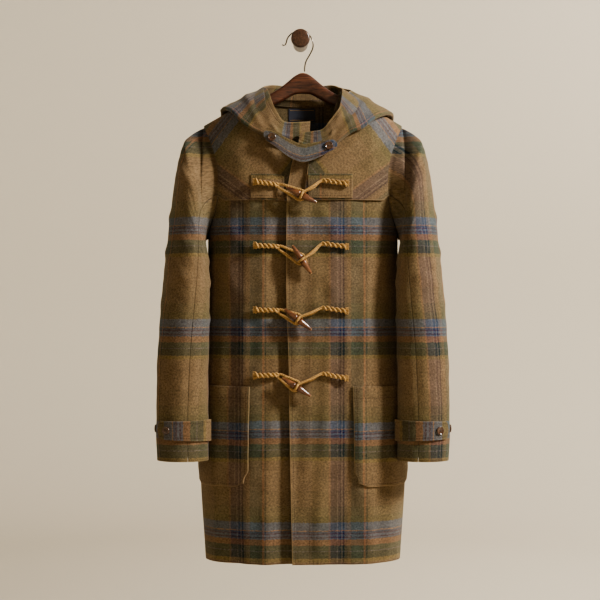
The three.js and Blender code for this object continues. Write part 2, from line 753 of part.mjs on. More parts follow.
// A round button, dished in front, standing along its axis
function button() {
  const { radius, thick, dish } = BUTTON;
  const outline = [
    [0, 0],
    [radius - 1, 0],
    [radius, 1],
    [radius, thick - 0.8],
    [radius - 1.2, thick],
    [radius - 2.8, thick - dish],
    [0, thick - dish],
  ];
  return new THREE.LatheGeometry(outline.map(([r, h]) => new THREE.Vector2(r, h)), 12);
}

function addButton(name, point, normal) {
  const geometry = button();
  const upright = new THREE.Quaternion().setFromUnitVectors(vector(0, 1, 0), normal);
  geometry.applyQuaternion(upright).translate(point.x, point.y, point.z);
  add(coat, name, geometry, COLOURS.button, 0.35);
}

for (const [name, x, drop] of TAB_BUTTONS) {
  const { point, normal } = onBody(-1, girthAngle(x, drop), drop);
  addButton("throat_button_" + name, point.addScaledVector(normal, TAB_LIFT + CLOTH + SEAM / 2), normal);
}

function cuffStrap(hand) {
  const rounded = (u) => Math.sqrt(1 - Math.max((u - 0.93) / 0.07, 0) ** 2 * 0.9);
  const half = (u) => (STRAP.half + STRAP.flare * (1 - u)) * rounded(u);
  const angle = (u) => radians(mix(STRAP.inner, STRAP.outer, u));
  const lift = (u) => LAY + STRAP.standOff * (1 - smooth(u / 0.12));
  return wall({
    us: [...even(12), 0.96, 0.985].sort((a, b) => a - b),
    vs: even(2),
    at: (u, v) => onSleeve(hand, angle(u), STRAP.at + half(u) * (2 * v - 1)),
    low: (u) => lift(u),
    high: (u) => lift(u) + CLOTH,
  });
}

for (const [name, hand] of HANDS) {
  add(coat, "cuff_strap_" + name, cuffStrap(hand), COLOURS.trim);
  for (const [place, degrees, onStrap] of CUFF_BUTTONS) {
    const { point, normal } = onSleeve(hand, radians(degrees), STRAP.at);
    const lift = (onStrap ? LAY + CLOTH : 0) + BUTTON.clear;
    addButton("cuff_button_" + place + "_" + name, point.addScaledVector(normal, lift), normal);
  }
}

// Inside the back neck: a facing strip, and below it a plain woven label
function neckFacing() {
  const place = (u, v) => {
    const x = FACING.half * u;
    return onBack(x, neckDrop(x, NECK.back) + 2.5 + FACING.deep * v);
  };
  const outer = -CLOTH - PRESSED - SEAM;
  return wall({ us: mirroredColumns(6), vs: even(1), at: place, low: outer - FACING.thick, high: outer });
}

add(coat, "neck_facing", neckFacing(), COLOURS.cloth);

function label() {
  const place = (u, v) => onBack(mix(LABEL.left, LABEL.right, u), mix(LABEL.top, LABEL.bottom, v));
  const outer = -CLOTH - PRESSED - SEAM / 2;
  return wall({ us: even(4), vs: even(2), at: place, low: outer - LABEL.thick, high: outer });
}

add(coat, "label", label(), COLOURS.label, 0.6);

// Patches that the first pair of cords is sewn down on
function cordPatch(hand) {
  const [from, to] = hand > 0 ? PATCH.left : PATCH.right.map((x) => -x).reverse();
  const place = (u, v) => [mix(from, to, u), mix(PATCH.top, PATCH.bottom, v)];
  const drawnIn = (u, v) => (hand > 0 ? 0 : sink(place(u, v)[0]));
  const under = LAY + CLOTH + PATCH.clear;
  return wall({
    us: even(5),
    vs: even(3),
    at: (u, v) => onFront(hand, ...place(u, v)),
    low: (u, v) => under - drawnIn(u, v),
    high: (u, v) => under + PATCH.thick - drawnIn(u, v),
  });
}

for (const [name, hand] of HANDS) add(coat, "cord_patch_" + name, cordPatch(hand), COLOURS.yoke);

// Toggles and their cords

// A point over the front: its height above whatever cloth lies there
function overFront(row, x, drop, height) {
  const hand = x < 0 ? -1 : 1;
  const layers = row === 0 ? LAY + CLOTH + PATCH.clear + PATCH.thick : 0;
  const sunk = sink(-x) * smooth((-x - CLIMB.to) / (CLIMB.from - CLIMB.to));
  const { point, normal } = onFront(hand, Math.abs(x), drop);
  return point.addScaledVector(normal, layers - sunk + height);
}

// A cord along a smooth curve. Its section is two strands side by side, which "section"
// gives for each place: the strands' radius, half the space between them and their turn.
function rope({ points, steps, sides = 8, section, spread = (t) => t }) {
  const curve = new THREE.CatmullRomCurve3(points, false, "centripetal");
  const vertices = [];
  const flat = vector(0, -1, 0).cross(curve.getTangentAt(0)).normalize();
  for (let j = 0; j <= steps; j += 1) {
    const s = spread(j / steps);
    const centre = curve.getPointAt(s);
    const forward = curve.getTangentAt(s);
    flat.addScaledVector(forward, -flat.dot(forward)).normalize();
    const lifted = forward.clone().cross(flat);
    const { strand, apart, turned, swell } = section(s);
    for (let i = 0; i < sides; i += 1) {
      const theta = (2 * Math.PI * i) / sides;
      const bulge = Math.sqrt(strand ** 2 - (apart * Math.sin(theta)) ** 2);
      const reach = apart * Math.abs(Math.cos(theta)) + bulge;
      const wide = reach * Math.cos(theta + turned) * swell;
      const high = reach * Math.sin(theta + turned);
      vertices.push(centre.clone().addScaledVector(flat, wide).addScaledVector(lifted, high));
    }
  }
  return closedTube(vertices, steps, sides);
}

// The closed surface of a tube whose rings of vertices follow each other
function closedTube(vertices, steps, sides) {
  const faces = [];
  const id = (j, i) => j * sides + (i % sides);
  for (let j = 0; j < steps; j += 1) {
    for (let i = 0; i < sides; i += 1) {
      faces.push(id(j, i), id(j, i + 1), id(j + 1, i + 1), id(j, i), id(j + 1, i + 1), id(j + 1, i));
    }
  }
  for (let i = 1; i < sides - 1; i += 1) {
    faces.push(0, i + 1, i, id(steps, 0), id(steps, i), id(steps, i + 1));
  }
  return closedGeometry(vertices, faces);
}

// The section of a cord that is doubled and twisted up to a place along it, has a tuft at
// its end, and then runs on single
function cordSection(points, doubled, endStrand) {
  const share = doubled / new THREE.CatmullRomCurve3(points, false, "centripetal").getLength();
  return (s) => {
    const single = smooth((s - share) / CORD.toSingle);
    return {
      strand: mix(CORD.strand, endStrand, smooth((s - share) / 0.2)),
      apart: CORD.apart * (1 - single),
      turned: 2 * Math.PI * CORD.turns * Math.min(s / share, 1),
      swell: 1 + CORD.tuft * (1 - smooth(s / (share * 0.3))),
    };
  };
}

// Spreads a cord's rings along it, closer together where it is doubled and twisted
function closerWhereTwisted(points, doubled) {
  const share = doubled / new THREE.CatmullRomCurve3(points, false, "centripetal").getLength();
  const rings = CORD.twistedRings;
  return (t) => (t < rings ? (t / rings) * share : mix(share, 1, (t - rings) / (1 - rings)));
}

function loopCord(row, fastening) {
  const { grooveX, grooveDrop, loopEnd, split } = fastening;
  const lift = CORD.strand + SEAM / 2;
  const twisted = [0, 0.5, 0.97].map((s) => {
    const x = mix(CORD.loopEndX, CORD.splitX, s);
    return overFront(row, x, mix(loopEnd, split, s), lift + CORD.apart * 0.9);
  });
  const along = new THREE.Vector2(grooveX - CORD.splitX, grooveDrop - split);
  const length = along.length();
  along.normalize();
  const eyeAt = (s, aside) => {
    const x = CORD.splitX + along.x * length * s + along.y * aside;
    const drop = split + along.y * length * s - along.x * aside;
    return overFront(row, x, drop, lift);
  };
  const end = 1 + EYE.past / length;
  const side = (rows, sign) => rows.map(([s, wide]) => eyeAt(s, sign * wide));
  const back = side([EYE.lastEnd, ...EYE.widths.slice(1)], -1).reverse();
  const points = [...twisted, ...side(EYE.widths, 1), eyeAt(end, 0), ...back];
  const doubled = CORD.splitX - CORD.loopEndX;
  const section = cordSection(points, doubled, CORD.strand);
  return rope({ points, steps: 30, section, spread: closerWhereTwisted(points, doubled) });
}

// The toggle's groove in space and its axis
function toggleAxis(row, { grooveX, grooveDrop, lean }) {
  const height = 2 * CORD.strand + TOGGLE.radius + SEAM / 2 + 0.3;
  const centre = overFront(row, grooveX, grooveDrop, height);
  const axis = vector(Math.cos(radians(lean)), 0, Math.sin(radians(lean)));
  return { centre, axis };
}

// The cord that holds the toggle runs in from its sewn end and winds round the groove
function toggleCord(row, fastening) {
  const { elbow, cordEnd } = fastening;
  const { centre, axis } = toggleAxis(row, fastening);
  const lift = CORD.strand + SEAM / 2;
  const twisted = [0, 0.5, 0.97].map((s) => {
    const x = mix(CORD.endX, CORD.elbowX, s);
    return overFront(row, x, mix(cordEnd, elbow, s), lift + CORD.apart * 0.9);
  });
  const radius = TOGGLE.groove + SEAM / 2 + EYE.ring;
  const out = vector(0, -1, 0);
  const across = axis.clone().cross(out);
  const up = across.z < 0 ? across.negate() : across;
  const winding = even(10).map((s) => {
    const turn = radians(mix(EYE.from, EYE.to, s));
    const wound = centre.clone().addScaledVector(up, radius * Math.cos(turn));
    return wound.addScaledVector(out, radius * Math.sin(turn));
  });
  const last = twisted[2];
  const between = last.clone().lerp(winding[0], 0.5).add(vector(0, -2.5, 0));
  const points = [...twisted, between, ...winding];
  const doubled = CORD.endX - CORD.elbowX;
  return rope({ points, steps: 34, section: cordSection(points, doubled, EYE.ring) });
}

// A turned toggle: two tapered halves that meet at a grooved waist
function toggle(row, fastening) {
  const { length, radius, tip, groove } = TOGGLE;
  const outline = [
    [0, -length / 2],
    [tip, -length / 2],
    [radius * 0.86, -length * 0.16],
    [radius, -length * 0.08],
    [groove, -EYE.ring - 0.6],
    [groove, EYE.ring + 0.6],
    [radius, length * 0.08],
    [radius * 0.86, length * 0.16],
    [tip, length / 2],
    [0, length / 2],
  ];
  const geometry = new THREE.LatheGeometry(outline.map(([r, h]) => new THREE.Vector2(r, h)), 12);
  const { centre, axis } = toggleAxis(row, fastening);
  geometry.applyQuaternion(new THREE.Quaternion().setFromUnitVectors(vector(0, 1, 0), axis));
  return geometry.translate(centre.x, centre.y, centre.z);
}

TOGGLES.forEach((fastening, row) => {
  add(coat, "loop_cord_" + (row + 1), loopCord(row, fastening), COLOURS.cord);
  add(coat, "toggle_cord_" + (row + 1), toggleCord(row, fastening), COLOURS.cord);
  add(coat, "toggle_" + (row + 1), toggle(row, fastening), COLOURS.horn, 0.3);
});

// Hanger, its hook and the wall peg

// Drop of the wooden arms' top edge, which follows the inside of the shoulders and rises
// to a hump at the hook
const CARRIED = CLOTH + PRESSED + 2.5;
const hangerTop = (x) => ridge(x) + CARRIED - HANGER.hump * Math.exp(-((x / HANGER.humpWidth) ** 2));

function hangerArms() {
  const sides = 12;
  const steps = 24;
  const vertices = [];
  for (let j = 0; j <= steps; j += 1) {
    const x = mix(-HANGER.half, HANGER.half, j / steps);
    const out = Math.abs(x) / HANGER.half;
    const top = hangerTop(x);
    const forward = HANGER.forward * smooth((Math.abs(x) - 10) / 60);
    const tall = mix(HANGER.height, HANGER.tipHeight, Math.min(out * 1.6, 1) ** 0.7);
    const thick = mix(HANGER.thick, HANGER.tipThick, smooth(out)) * (out > 0.985 ? 0.8 : 1);
    for (let i = 0; i < sides; i += 1) {
      const theta = (2 * Math.PI * i) / sides;
      const wide = Math.sign(Math.cos(theta)) * Math.abs(Math.cos(theta)) ** 0.7;
      const high = Math.sign(Math.sin(theta)) * Math.abs(Math.sin(theta)) ** 0.7;
      const drop = top + (tall * (1 - high)) / 2;
      const clear = CARRIED + 1.2;
      const backLimit = bodyPoint(1, x, drop - CARRIED - 3).y - clear;
      const y = RIDGE_Y - forward + (wide * thick) / 2;
      const isInNeck = Math.abs(x) < HANGER.bare;
      vertices.push(vector(x, isInNeck ? y : Math.min(y, backLimit), -drop));
    }
  }
  return closedTube(vertices, steps, sides);
}

add(coat, "hanger", hangerArms(), COLOURS.wood, 0.4);

// The wire rises from the hanger, bends to the right and goes over the peg
function hangerHook() {
  const crookTop = PEG.neck + HOOK.clear + HOOK.wire;
  const middle = crookTop - HOOK.crook;
  const station = HANGER.half / 12;
  const seat = mix(hangerTop(0), hangerTop(station), HOOK.stem / station);
  const stemTop = 1 - seat;
  const stem = MIDDLE + HOOK.stem;
  const points = [
    vector(stem, RIDGE_Y, stemTop),
    vector(stem, RIDGE_Y, stemTop + 8),
    vector(stem + 3, RIDGE_Y, stemTop + 22),
    vector(stem + 11, RIDGE_Y, stemTop + 36),
  ];
  for (let degrees = -12; degrees <= 176; degrees += 23.5) {
    const angle = radians(degrees);
    points.push(vector(-2 + HOOK.crook * Math.cos(angle), RIDGE_Y, middle + HOOK.crook * Math.sin(angle)));
  }
  points.push(vector(-34, RIDGE_Y, middle - 3), vector(-38, RIDGE_Y, middle + 1));
  const section = () => ({ strand: HOOK.wire, apart: 0, turned: 0, swell: 1 });
  return rope({ points, steps: 36, sides: 6, section });
}

add(group, "hanger_hook", hangerHook(), COLOURS.steel, 0.2, 1);

function wallPeg() {
  const back = PEG.front - PEG.headThick;
  const outline = [
    [0, 0],
    [PEG.neck, 0],
    [PEG.neck, back - 2],
    [PEG.head - 1.5, back],
    [PEG.head, back + 2],
    [PEG.head, PEG.front - PEG.round],
    [PEG.head - 1.2, PEG.front - 1.2],
    [PEG.head - PEG.round, PEG.front],
    [0, PEG.front],
  ];
  const geometry = new THREE.LatheGeometry(outline.map(([r, h]) => new THREE.Vector2(r, h)), 24);
  return geometry.rotateX(Math.PI);
}

add(group, "wall_peg", wallPeg(), COLOURS.wood, 0.4);

export default group;
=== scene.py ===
# %% [markdown]
# # A duffle coat on its hanger
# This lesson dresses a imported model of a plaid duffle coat. The coat hangs on a wooden
# hanger, and the hanger's hook hangs from a round peg in the wall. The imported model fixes
# every size, and each piece made here lies on the same surfaces, in the same place.

import math

import bmesh
import bpy
import numpy as np
from mathutils import Matrix, Vector


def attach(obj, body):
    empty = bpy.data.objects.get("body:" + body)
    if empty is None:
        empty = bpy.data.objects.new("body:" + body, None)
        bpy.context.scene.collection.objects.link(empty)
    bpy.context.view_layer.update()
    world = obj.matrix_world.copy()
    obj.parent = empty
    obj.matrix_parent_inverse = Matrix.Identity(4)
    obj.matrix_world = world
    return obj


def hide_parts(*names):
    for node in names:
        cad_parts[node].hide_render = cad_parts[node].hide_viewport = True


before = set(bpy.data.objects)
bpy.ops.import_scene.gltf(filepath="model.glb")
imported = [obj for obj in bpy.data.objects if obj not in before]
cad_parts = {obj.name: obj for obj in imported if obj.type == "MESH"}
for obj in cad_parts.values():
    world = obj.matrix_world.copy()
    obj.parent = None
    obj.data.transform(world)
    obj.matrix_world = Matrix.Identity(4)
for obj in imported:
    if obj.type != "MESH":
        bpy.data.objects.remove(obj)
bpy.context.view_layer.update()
MM = 0.001

# %% [markdown]
# ## The camera
# The picture is taken from three metres away with a long lens, level with the middle of
# the coat. The lens is worked out from the width that the picture takes in at the coat.

# %% Camera
CAMERA_PLACE = Vector((-0.001, -3.0, -0.541))
VIEW_WIDTH = 1.230
VIEW_DISTANCE = 2.9
SENSOR = 36.0

camera_data = bpy.data.cameras.new("camera")
camera_data.sensor_width = SENSOR
camera_data.lens = SENSOR * VIEW_DISTANCE / VIEW_WIDTH
camera = bpy.data.objects.new("camera", camera_data)
camera.location = CAMERA_PLACE
camera.rotation_euler = (math.pi / 2, 0, 0)
bpy.context.scene.collection.objects.link(camera)
bpy.context.scene.camera = camera
print("lens", round(camera_data.lens, 1), "mm")

# %% [markdown]
# ## Numbers that describe the coat
# A garment is a few smooth surfaces: the body's girth, the sleeve's rings and the hood's
# sections. Each is a short table in millimetres, read on a smooth curve, so that a sheet
# of cloth can be laid on it anywhere. Heights are drops below the peg. A side is -1 for
# the front and 1 for the back, and a hand is 1 for the wearer's left.

# %% Reading a table
def table(columns, rows):
    """The rows as one array for each named column."""
    return {name: np.array([row[i] for row in rows], float) for i, name in enumerate(columns.split())}


def read(rows, at, column):
    """The column's value at places along the first column, on a smooth curve."""
    key, value = next(iter(rows.values())), rows[column]
    order = np.arange(len(key))
    before, after = np.maximum(order - 1, 0), np.minimum(order + 1, len(key) - 1)
    slope = (value[after] - value[before]) / (key[after] - key[before])
    place = np.clip(np.asarray(at, float), key[0], key[-1])
    i = np.clip(np.searchsorted(key, place, side="right") - 1, 0, len(key) - 2)
    span = key[i + 1] - key[i]
    t = (place - key[i]) / span
    ease = value[i] + (value[i + 1] - value[i]) * t * t * (3 - 2 * t)
    return ease + span * (t * (1 - t) ** 2 * slope[i] - t * t * (1 - t) * slope[i + 1])


def smooth(t):
    t = np.clip(t, 0, 1)
    return t * t * (3 - 2 * t)


def mix(a, b, t):
    return a + (b - a) * t


# %% The body's sizes
CLOTH = 3.0
HOOD_CLOTH = 2.4
SEAM = 1.0
LAY = 1.2
PRESSED = 1.8
MIDDLE = 5.0
RIDGE_Y = -62.0
HEM = 1072.0
SQUARENESS = 2.6
ROLL = {-1: 70.0, 1: 50.0}
NECK_HALF = 76.0
NECK_LOWEST = {-1: 236.0, 1: 124.0}
ARMHOLE_X, ARMHOLE_FLARE, ARMHOLE_HOLLOW, ARMHOLE_BOTTOM = 201.0, 4.0, 29.0, 410.0
NECK_SHARE = 0.38

BODY = table("drop half front back", [
    (60, 206, 78, 19),
    (180, 206, 86, 22),
    (300, 206, 97, 27),
    (410, 197, 104, 34),
    (535, 201, 109, 41),
    (660, 205, 111, 44),
    (871, 213, 110, 45),
    (1072, 202, 104, 43),
])
FRONT_EDGE = table("drop x", [
    (205, -7),
    (236, -13),
    (266, -22),
    (320, -31),
    (380, -33),
    (541, -33),
    (660, -29),
    (843, -26),
    (1072, -21.5),
])
LARGE_FOLDS = [
    (-1, 150, 150, 330, 128, 15, 3.5),
    (-1, 160, -140, 360, -112, 18, 3),
    (-1, 420, 150, 1100, 128, 26, 4),
    (-1, 400, -152, 1100, -138, 24, -4),
    (-1, 520, 78, 1100, 66, 30, -3),
    (-1, 560, -84, 1100, -76, 28, 3),
    (1, 300, 110, 1100, 96, 30, 3.5),
    (1, 330, -104, 1100, -118, 28, 3.5),
    (1, 360, 20, 1100, 8, 34, -4),
]

# %% The body's surface
def ridge(x):
    """Drop of the shoulder line, which runs on over the neck as a smooth arch."""
    return 64 + 0.58 * np.hypot(x, 30)


def fold_height(side, x, drop):
    """How far the large folds stand out: each runs from a top place to a bottom one."""
    height = np.zeros(np.broadcast(x, drop).shape)
    for fold_side, top, top_x, bottom, bottom_x, width, rise in LARGE_FOLDS:
        if fold_side != side:
            continue
        along = np.clip((drop - top) / (bottom - top), 0, 1.2)
        middle = mix(top_x, bottom_x, along)
        if bottom > HEM:
            grows = smooth(along * 1.6)
        else:
            grows = np.maximum(np.sin(np.pi * np.minimum(along, 1) ** 0.7), 0) ** 0.8
        height += rise * grows * np.exp(-(((x - middle) / width) ** 2))
    return height


def body_point(side, x, drop):
    half = read(BODY, drop, "half")
    across = np.minimum(np.abs(x) / half, 1)
    below = np.clip(drop - ridge(x), 0, ROLL[side]) / ROLL[side]
    cap = np.sqrt(1 - (1 - below) ** 2)
    girth = (1 - across**SQUARENESS) ** (1 / SQUARENESS)
    deep = read(BODY, drop, "front" if side < 0 else "back") + fold_height(side, x, drop)
    y = RIDGE_Y + side * (SEAM / 2 + deep * cap * girth)
    return np.stack(np.broadcast_arrays(x, y, -drop), -1)


def girth_point(side, q, drop):
    return body_point(side, read(BODY, drop, "half") * np.sin(q * np.pi / 2), drop)


def girth_angle(x, drop):
    return np.arcsin(np.clip(x / read(BODY, drop, "half"), -1, 1)) * 2 / np.pi


def unit(vectors):
    return vectors / np.maximum(np.linalg.norm(vectors, axis=-1, keepdims=True), 1e-9)


def on_body(side, q, drop):
    """Places on the body and the directions straight out of the cloth there."""
    point = girth_point(side, q, drop)
    near = np.clip(q, -0.999, 0.999)
    low = np.maximum(drop, ridge(point[..., 0]) + 0.02)
    across = girth_point(side, near + 4e-4, low) - girth_point(side, near - 4e-4, low)
    down = girth_point(side, near, low + 0.008) - girth_point(side, near, low - 0.008)
    normal = unit(np.cross(across, down))
    here = girth_point(side, near, low)
    ahead = (here[..., 1] - RIDGE_Y) * 2 + side
    outward = np.stack([here[..., 0], ahead, np.full(here.shape[:-1], 20.0)], -1)
    turn = np.sign((normal * outward).sum(-1, keepdims=True))
    return point, normal * turn


def on_front(hand, x, drop):
    return on_body(-1, hand * girth_angle(x, drop), drop)


def on_back(x, drop):
    return on_body(1, girth_angle(x, drop), drop)


print("front at mid chest", on_front(1, np.array([50.0]), np.array([450.0]))[0].round(1))

# %% Edges of the panels
def neck_drop(x, lowest):
    across = np.minimum(np.abs(x) / NECK_HALF, 1)
    return mix(ridge(NECK_HALF), lowest, np.sqrt(1 - across * across))


def armhole_x(drop):
    top = ridge(ARMHOLE_X + ARMHOLE_FLARE)
    c = np.clip(((top + ARMHOLE_BOTTOM) / 2 - drop) / ((ARMHOLE_BOTTOM - top) / 2), -1, 1)
    return ARMHOLE_X + ARMHOLE_FLARE * c - ARMHOLE_HOLLOW * (1 - c * c)


def shoulder_row(u, start_x, inset, lowest):
    """The top edge of a panel: round the neck to its corner, then out along the shoulder."""
    outer = ARMHOLE_X + ARMHOLE_FLARE - inset
    start = np.arcsin(start_x / NECK_HALF)
    neck_x = NECK_HALF * np.sin(mix(start, np.pi / 2, np.minimum(u / NECK_SHARE, 1)))
    shoulder_x = mix(NECK_HALF, outer, (u - NECK_SHARE) / (1 - NECK_SHARE))
    in_neck = u < NECK_SHARE
    x = np.where(in_neck, neck_x, shoulder_x)
    return x, np.where(in_neck, neck_drop(neck_x, lowest), ridge(shoulder_x))


def side_edge(v, armhole_share, hem, inset):
    """The outer edge of a panel: down the armhole, then down the side seam."""
    top = ridge(ARMHOLE_X + ARMHOLE_FLARE - inset)
    bottom = min(ARMHOLE_BOTTOM, hem)
    lower = (v - armhole_share) / max(1 - armhole_share, 1e-9)
    in_armhole = v <= armhole_share + 1e-9
    drop = np.where(in_armhole, mix(top, bottom, v / armhole_share), mix(bottom, hem, lower))
    x = armhole_x(drop) - inset * (1 - smooth((drop - ARMHOLE_BOTTOM + 20) / 20))
    return np.where(in_armhole, x, read(BODY, drop, "half")), drop


def front_place(u, v, edge, start_x, armhole_share, hem, inset):
    """Places of a front panel, u outwards from its front edge and v down."""
    top_x, top_drop = shoulder_row(u, start_x, inset, NECK_LOWEST[-1])
    corner_drop = neck_drop(start_x, NECK_LOWEST[-1])
    left_drop = mix(corner_drop, hem, v)
    right_x, right_drop = side_edge(v, armhole_share, hem, inset)
    outer = ARMHOLE_X + ARMHOLE_FLARE - inset
    fade = np.maximum(1 - v / 0.6, 0) ** 2
    x = mix(edge(left_drop), right_x, u) + fade * (top_x - mix(start_x, outer, u))
    drop = mix(left_drop, right_drop, u) + fade * (top_drop - mix(corner_drop, ridge(outer), u))
    return x, drop


def back_place(u, v, armhole_share, hem, inset):
    """Places of the back, u from -1 to 1 across it and v down."""
    s = np.abs(u)
    top_x, top_drop = shoulder_row(s, 0.0, inset, NECK_LOWEST[1])
    side_x, side_drop = side_edge(v, armhole_share, hem, inset)
    outer = ARMHOLE_X + ARMHOLE_FLARE - inset
    fade = np.maximum(1 - v / 0.6, 0) ** 2
    centre_drop = mix(NECK_LOWEST[1], hem, v)
    drop = mix(centre_drop, side_drop, s) + fade * (top_drop - mix(NECK_LOWEST[1], ridge(outer), s))
    return np.sign(u) * (side_x * s + fade * (top_x - outer * s)), drop


# %% [markdown]
# ## How a sheet of cloth is made
# Real cloth is flat, then cut, sewn and hung. Here each piece starts as a flat grid, and
# its points are moved on to the coat's surface. Two things are kept from the flat cloth:
# where each point was in the plaid, as a UV map, and how far it was from a finished edge,
# as an attribute, so that stitching can follow the edge. A Solidify modifier gives the
# wall, and a small bevel rounds its cut edges.

# %% Small folds and unevenness
def waves(a, b, seed, size):
    """Gentle unevenness between -1 and 1, from a few crossing waves of about that size."""
    total = np.zeros(np.broadcast(a, b).shape)
    for k in range(5):
        turn = seed * 1.7 + k * 2.399
        length = size * (0.62 + 0.21 * k)
        across = a * math.cos(turn) + b * math.sin(turn)
        total += np.sin(across * 2 * math.pi / length + seed * 3.1 + k * 1.3)
    return total / 3.2


def creases(a, b, lines):
    """Folds given one by one. Each line is (a0, b0, a1, b1, width, height) and fades at its ends."""
    height = np.zeros(np.broadcast(a, b).shape)
    for a0, b0, a1, b1, width, rise in lines:
        length = math.hypot(a1 - a0, b1 - b0)
        along = ((a - a0) * (a1 - a0) + (b - b0) * (b1 - b0)) / length**2
        aside = ((a - a0) * (b1 - b0) - (b - b0) * (a1 - a0)) / length
        bend = aside + width * 0.5 * np.sin(along * 3.4 + a0)
        ends = smooth(along / 0.3) * smooth((1 - along) / 0.3)
        height += rise * ends * np.exp(-((bend / width) ** 2))
    return height


# %% Laying a grid on a surface
FAR = 100.0


def lay_cloth(name, columns, rows, shape):
    """A grid whose points go where shape(u, v) says. shape gives the place and the outward
    direction in millimetres, the place in the plaid, and the distances to a finished edge
    and to the edge of a facing behind it."""
    bm = bmesh.new()
    bmesh.ops.create_grid(bm, x_segments=columns, y_segments=rows, size=0.5)
    flat = np.array([vert.co for vert in bm.verts])
    u = np.round((flat[:, 0] + 0.5) * columns) / columns
    v = np.round((0.5 - flat[:, 1]) * rows) / rows
    point, normal, plaid, edge, facing = shape(u, v)
    for vert, place in zip(bm.verts, (point + [MIDDLE, 0, 0]) * MM):
        vert.co = place
    bm.normal_update()
    bm.verts.ensure_lookup_table()
    agree = sum(vert.normal.dot(Vector(normal[i])) for i, vert in enumerate(bm.verts))
    if agree < 0:
        bmesh.ops.reverse_faces(bm, faces=bm.faces)
    mesh = bpy.data.meshes.new(name)
    bm.to_mesh(mesh)
    bm.free()
    corner = np.empty(len(mesh.loops), int)
    mesh.loops.foreach_get("vertex_index", corner)
    uv = mesh.uv_layers.new(name="plaid")
    uv.data.foreach_set("uv", (plaid[corner] * MM).astype(np.float32).ravel())
    for title, value in (("edge", edge), ("facing", facing)):
        attribute = mesh.attributes.new(title, "FLOAT", "POINT")
        attribute.data.foreach_set("value", np.broadcast_to(value, u.shape).astype(np.float32))
    mesh.shade_smooth()
    piece = bpy.data.objects.new(name, mesh)
    bpy.context.scene.collection.objects.link(piece)
    return piece


def thicken(piece, thick, rounding=0.9):
    """Gives a sheet its wall inwards, and rounds the cut edges."""
    wall = piece.modifiers.new("wall", "SOLIDIFY")
    wall.thickness = thick * MM
    wall.offset = -1
    soft = piece.modifiers.new("soft edges", "BEVEL")
    soft.width = rounding * MM
    soft.segments = 2
    soft.limit_method = "ANGLE"
    soft.angle_limit = math.radians(50)


ALLOWANCE = 1.06


def finish_cloth(piece, material, nodes, flat):
    """Gives the piece its material, hides the imported parts that it replaces, and prints how large it was
    cut. The cut is the sheet's own area and a seam allowance."""
    area = round(ALLOWANCE * sum(face.area for face in piece.data.polygons), 4)
    piece.data.materials.append(material)
    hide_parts(*nodes)
    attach(piece, "root")
    share = area / (flat[0] * flat[1])
    print(f"{piece.name}: cut {area} m2, {share:.2f} of a {flat[0]} x {flat[1]} m blank")


# %% [markdown]
# ## The plaid
# The cloth is a heavy wool, woven as a twill and brushed, in a plaid that repeats every
# 204 mm both ways. A plaid is two sets of stripes that cross, one in the warp and one in
# the weft, and each spot shows a blend of the two yarns. So the material reads the UV map
# twice, once across and once down, through two colour ramps, and mixes the results by a
# fine diagonal twill. Speckled noise stands for the mixed fibres in each yarn.

# %% Yarn colours
def linear(*srgb):
    """An 8-bit screen colour as the linear colour that a shader takes."""
    parts = [c / 255 for c in srgb]
    return [c / 12.92 if c <= 0.04045 else ((c + 0.055) / 1.055) ** 2.4 for c in parts]


REPEAT = 204.0
TAN = linear(111, 90, 67)
BLEND = 0.5
STRENGTH = 0.5
WEFT = [
    (0, (80, 86, 94)),
    (15.5, (129, 99, 74)),
    (17.5, (67, 73, 86)),
    (21, (46, 51, 65)),
    (23.5, (80, 85, 94)),
    (28, (46, 51, 65)),
    (30.5, (76, 81, 89)),
    (34, (111, 84, 63)),
    (46, (68, 70, 54)),
    (57, (91, 85, 81)),
    (58.5, (64, 67, 51)),
    (72.5, (109, 93, 60)),
    (79, (111, 91, 67)),
    (140, (107, 89, 65)),
    (172, (100, 86, 61)),
    (190, (93, 83, 57)),
]
WARP = [
    (0, (95, 77, 67)),
    (13.5, (115, 98, 83)),
    (15, (89, 71, 64)),
    (18.5, (69, 54, 52)),
    (20.5, (103, 85, 73)),
    (24, (71, 55, 52)),
    (27.5, (104, 85, 67)),
    (33, (113, 92, 69)),
    (41, (97, 85, 66)),
    (66.5, (131, 96, 70)),
    (70, (111, 91, 68)),
    (72.5, (82, 69, 55)),
    (73.8, (111, 91, 67)),
    (128, (116, 96, 72)),
    (166, (109, 91, 66)),
    (200, (119, 93, 70)),
]


def yarn(seen):
    """The colour a yarn needs to look like the one seen, where it crosses tan yarns."""
    crossed = [(c - t * (1 - BLEND)) / BLEND for c, t in zip(linear(*seen), TAN)]
    return [max(mix(s, c, STRENGTH), 0.004) for s, c in zip(linear(*seen), crossed)]


# %% Node helpers
def new_material(name):
    material = bpy.data.materials.new(name)
    material.use_nodes = True
    return material, material.node_tree.nodes, material.node_tree.links


def node(nodes, kind, inputs=(), **settings):
    made = nodes.new(kind)
    for key, value in settings.items():
        setattr(made, key, value)
    for key, value in dict(inputs).items():
        made.inputs[key].default_value = value
    return made


def calculate(tree, operation, *values):
    """A Math node with numbers or other nodes' outputs as its inputs."""
    made = tree.nodes.new("ShaderNodeMath")
    made.operation = operation
    for i, value in enumerate(values):
        if isinstance(value, (int, float)):
            made.inputs[i].default_value = value
        else:
            tree.links.new(value, made.inputs[i])
    return made.outputs[0]


def blend_colours(tree, factor, a, b, blend_type="MIX"):
    made = tree.nodes.new("ShaderNodeMix")
    made.data_type = "RGBA"
    made.blend_type = blend_type
    for socket, value in (("Factor", factor), ("A", a), ("B", b)):
        found = [s for s in made.inputs if s.name == socket and s.enabled][0]
        if isinstance(value, bpy.types.NodeSocket):
            tree.links.new(value, found)
        elif socket == "Factor":
            found.default_value = value
        else:
            found.default_value = (*value[:3], 1)
    return [s for s in made.outputs if s.enabled][0]


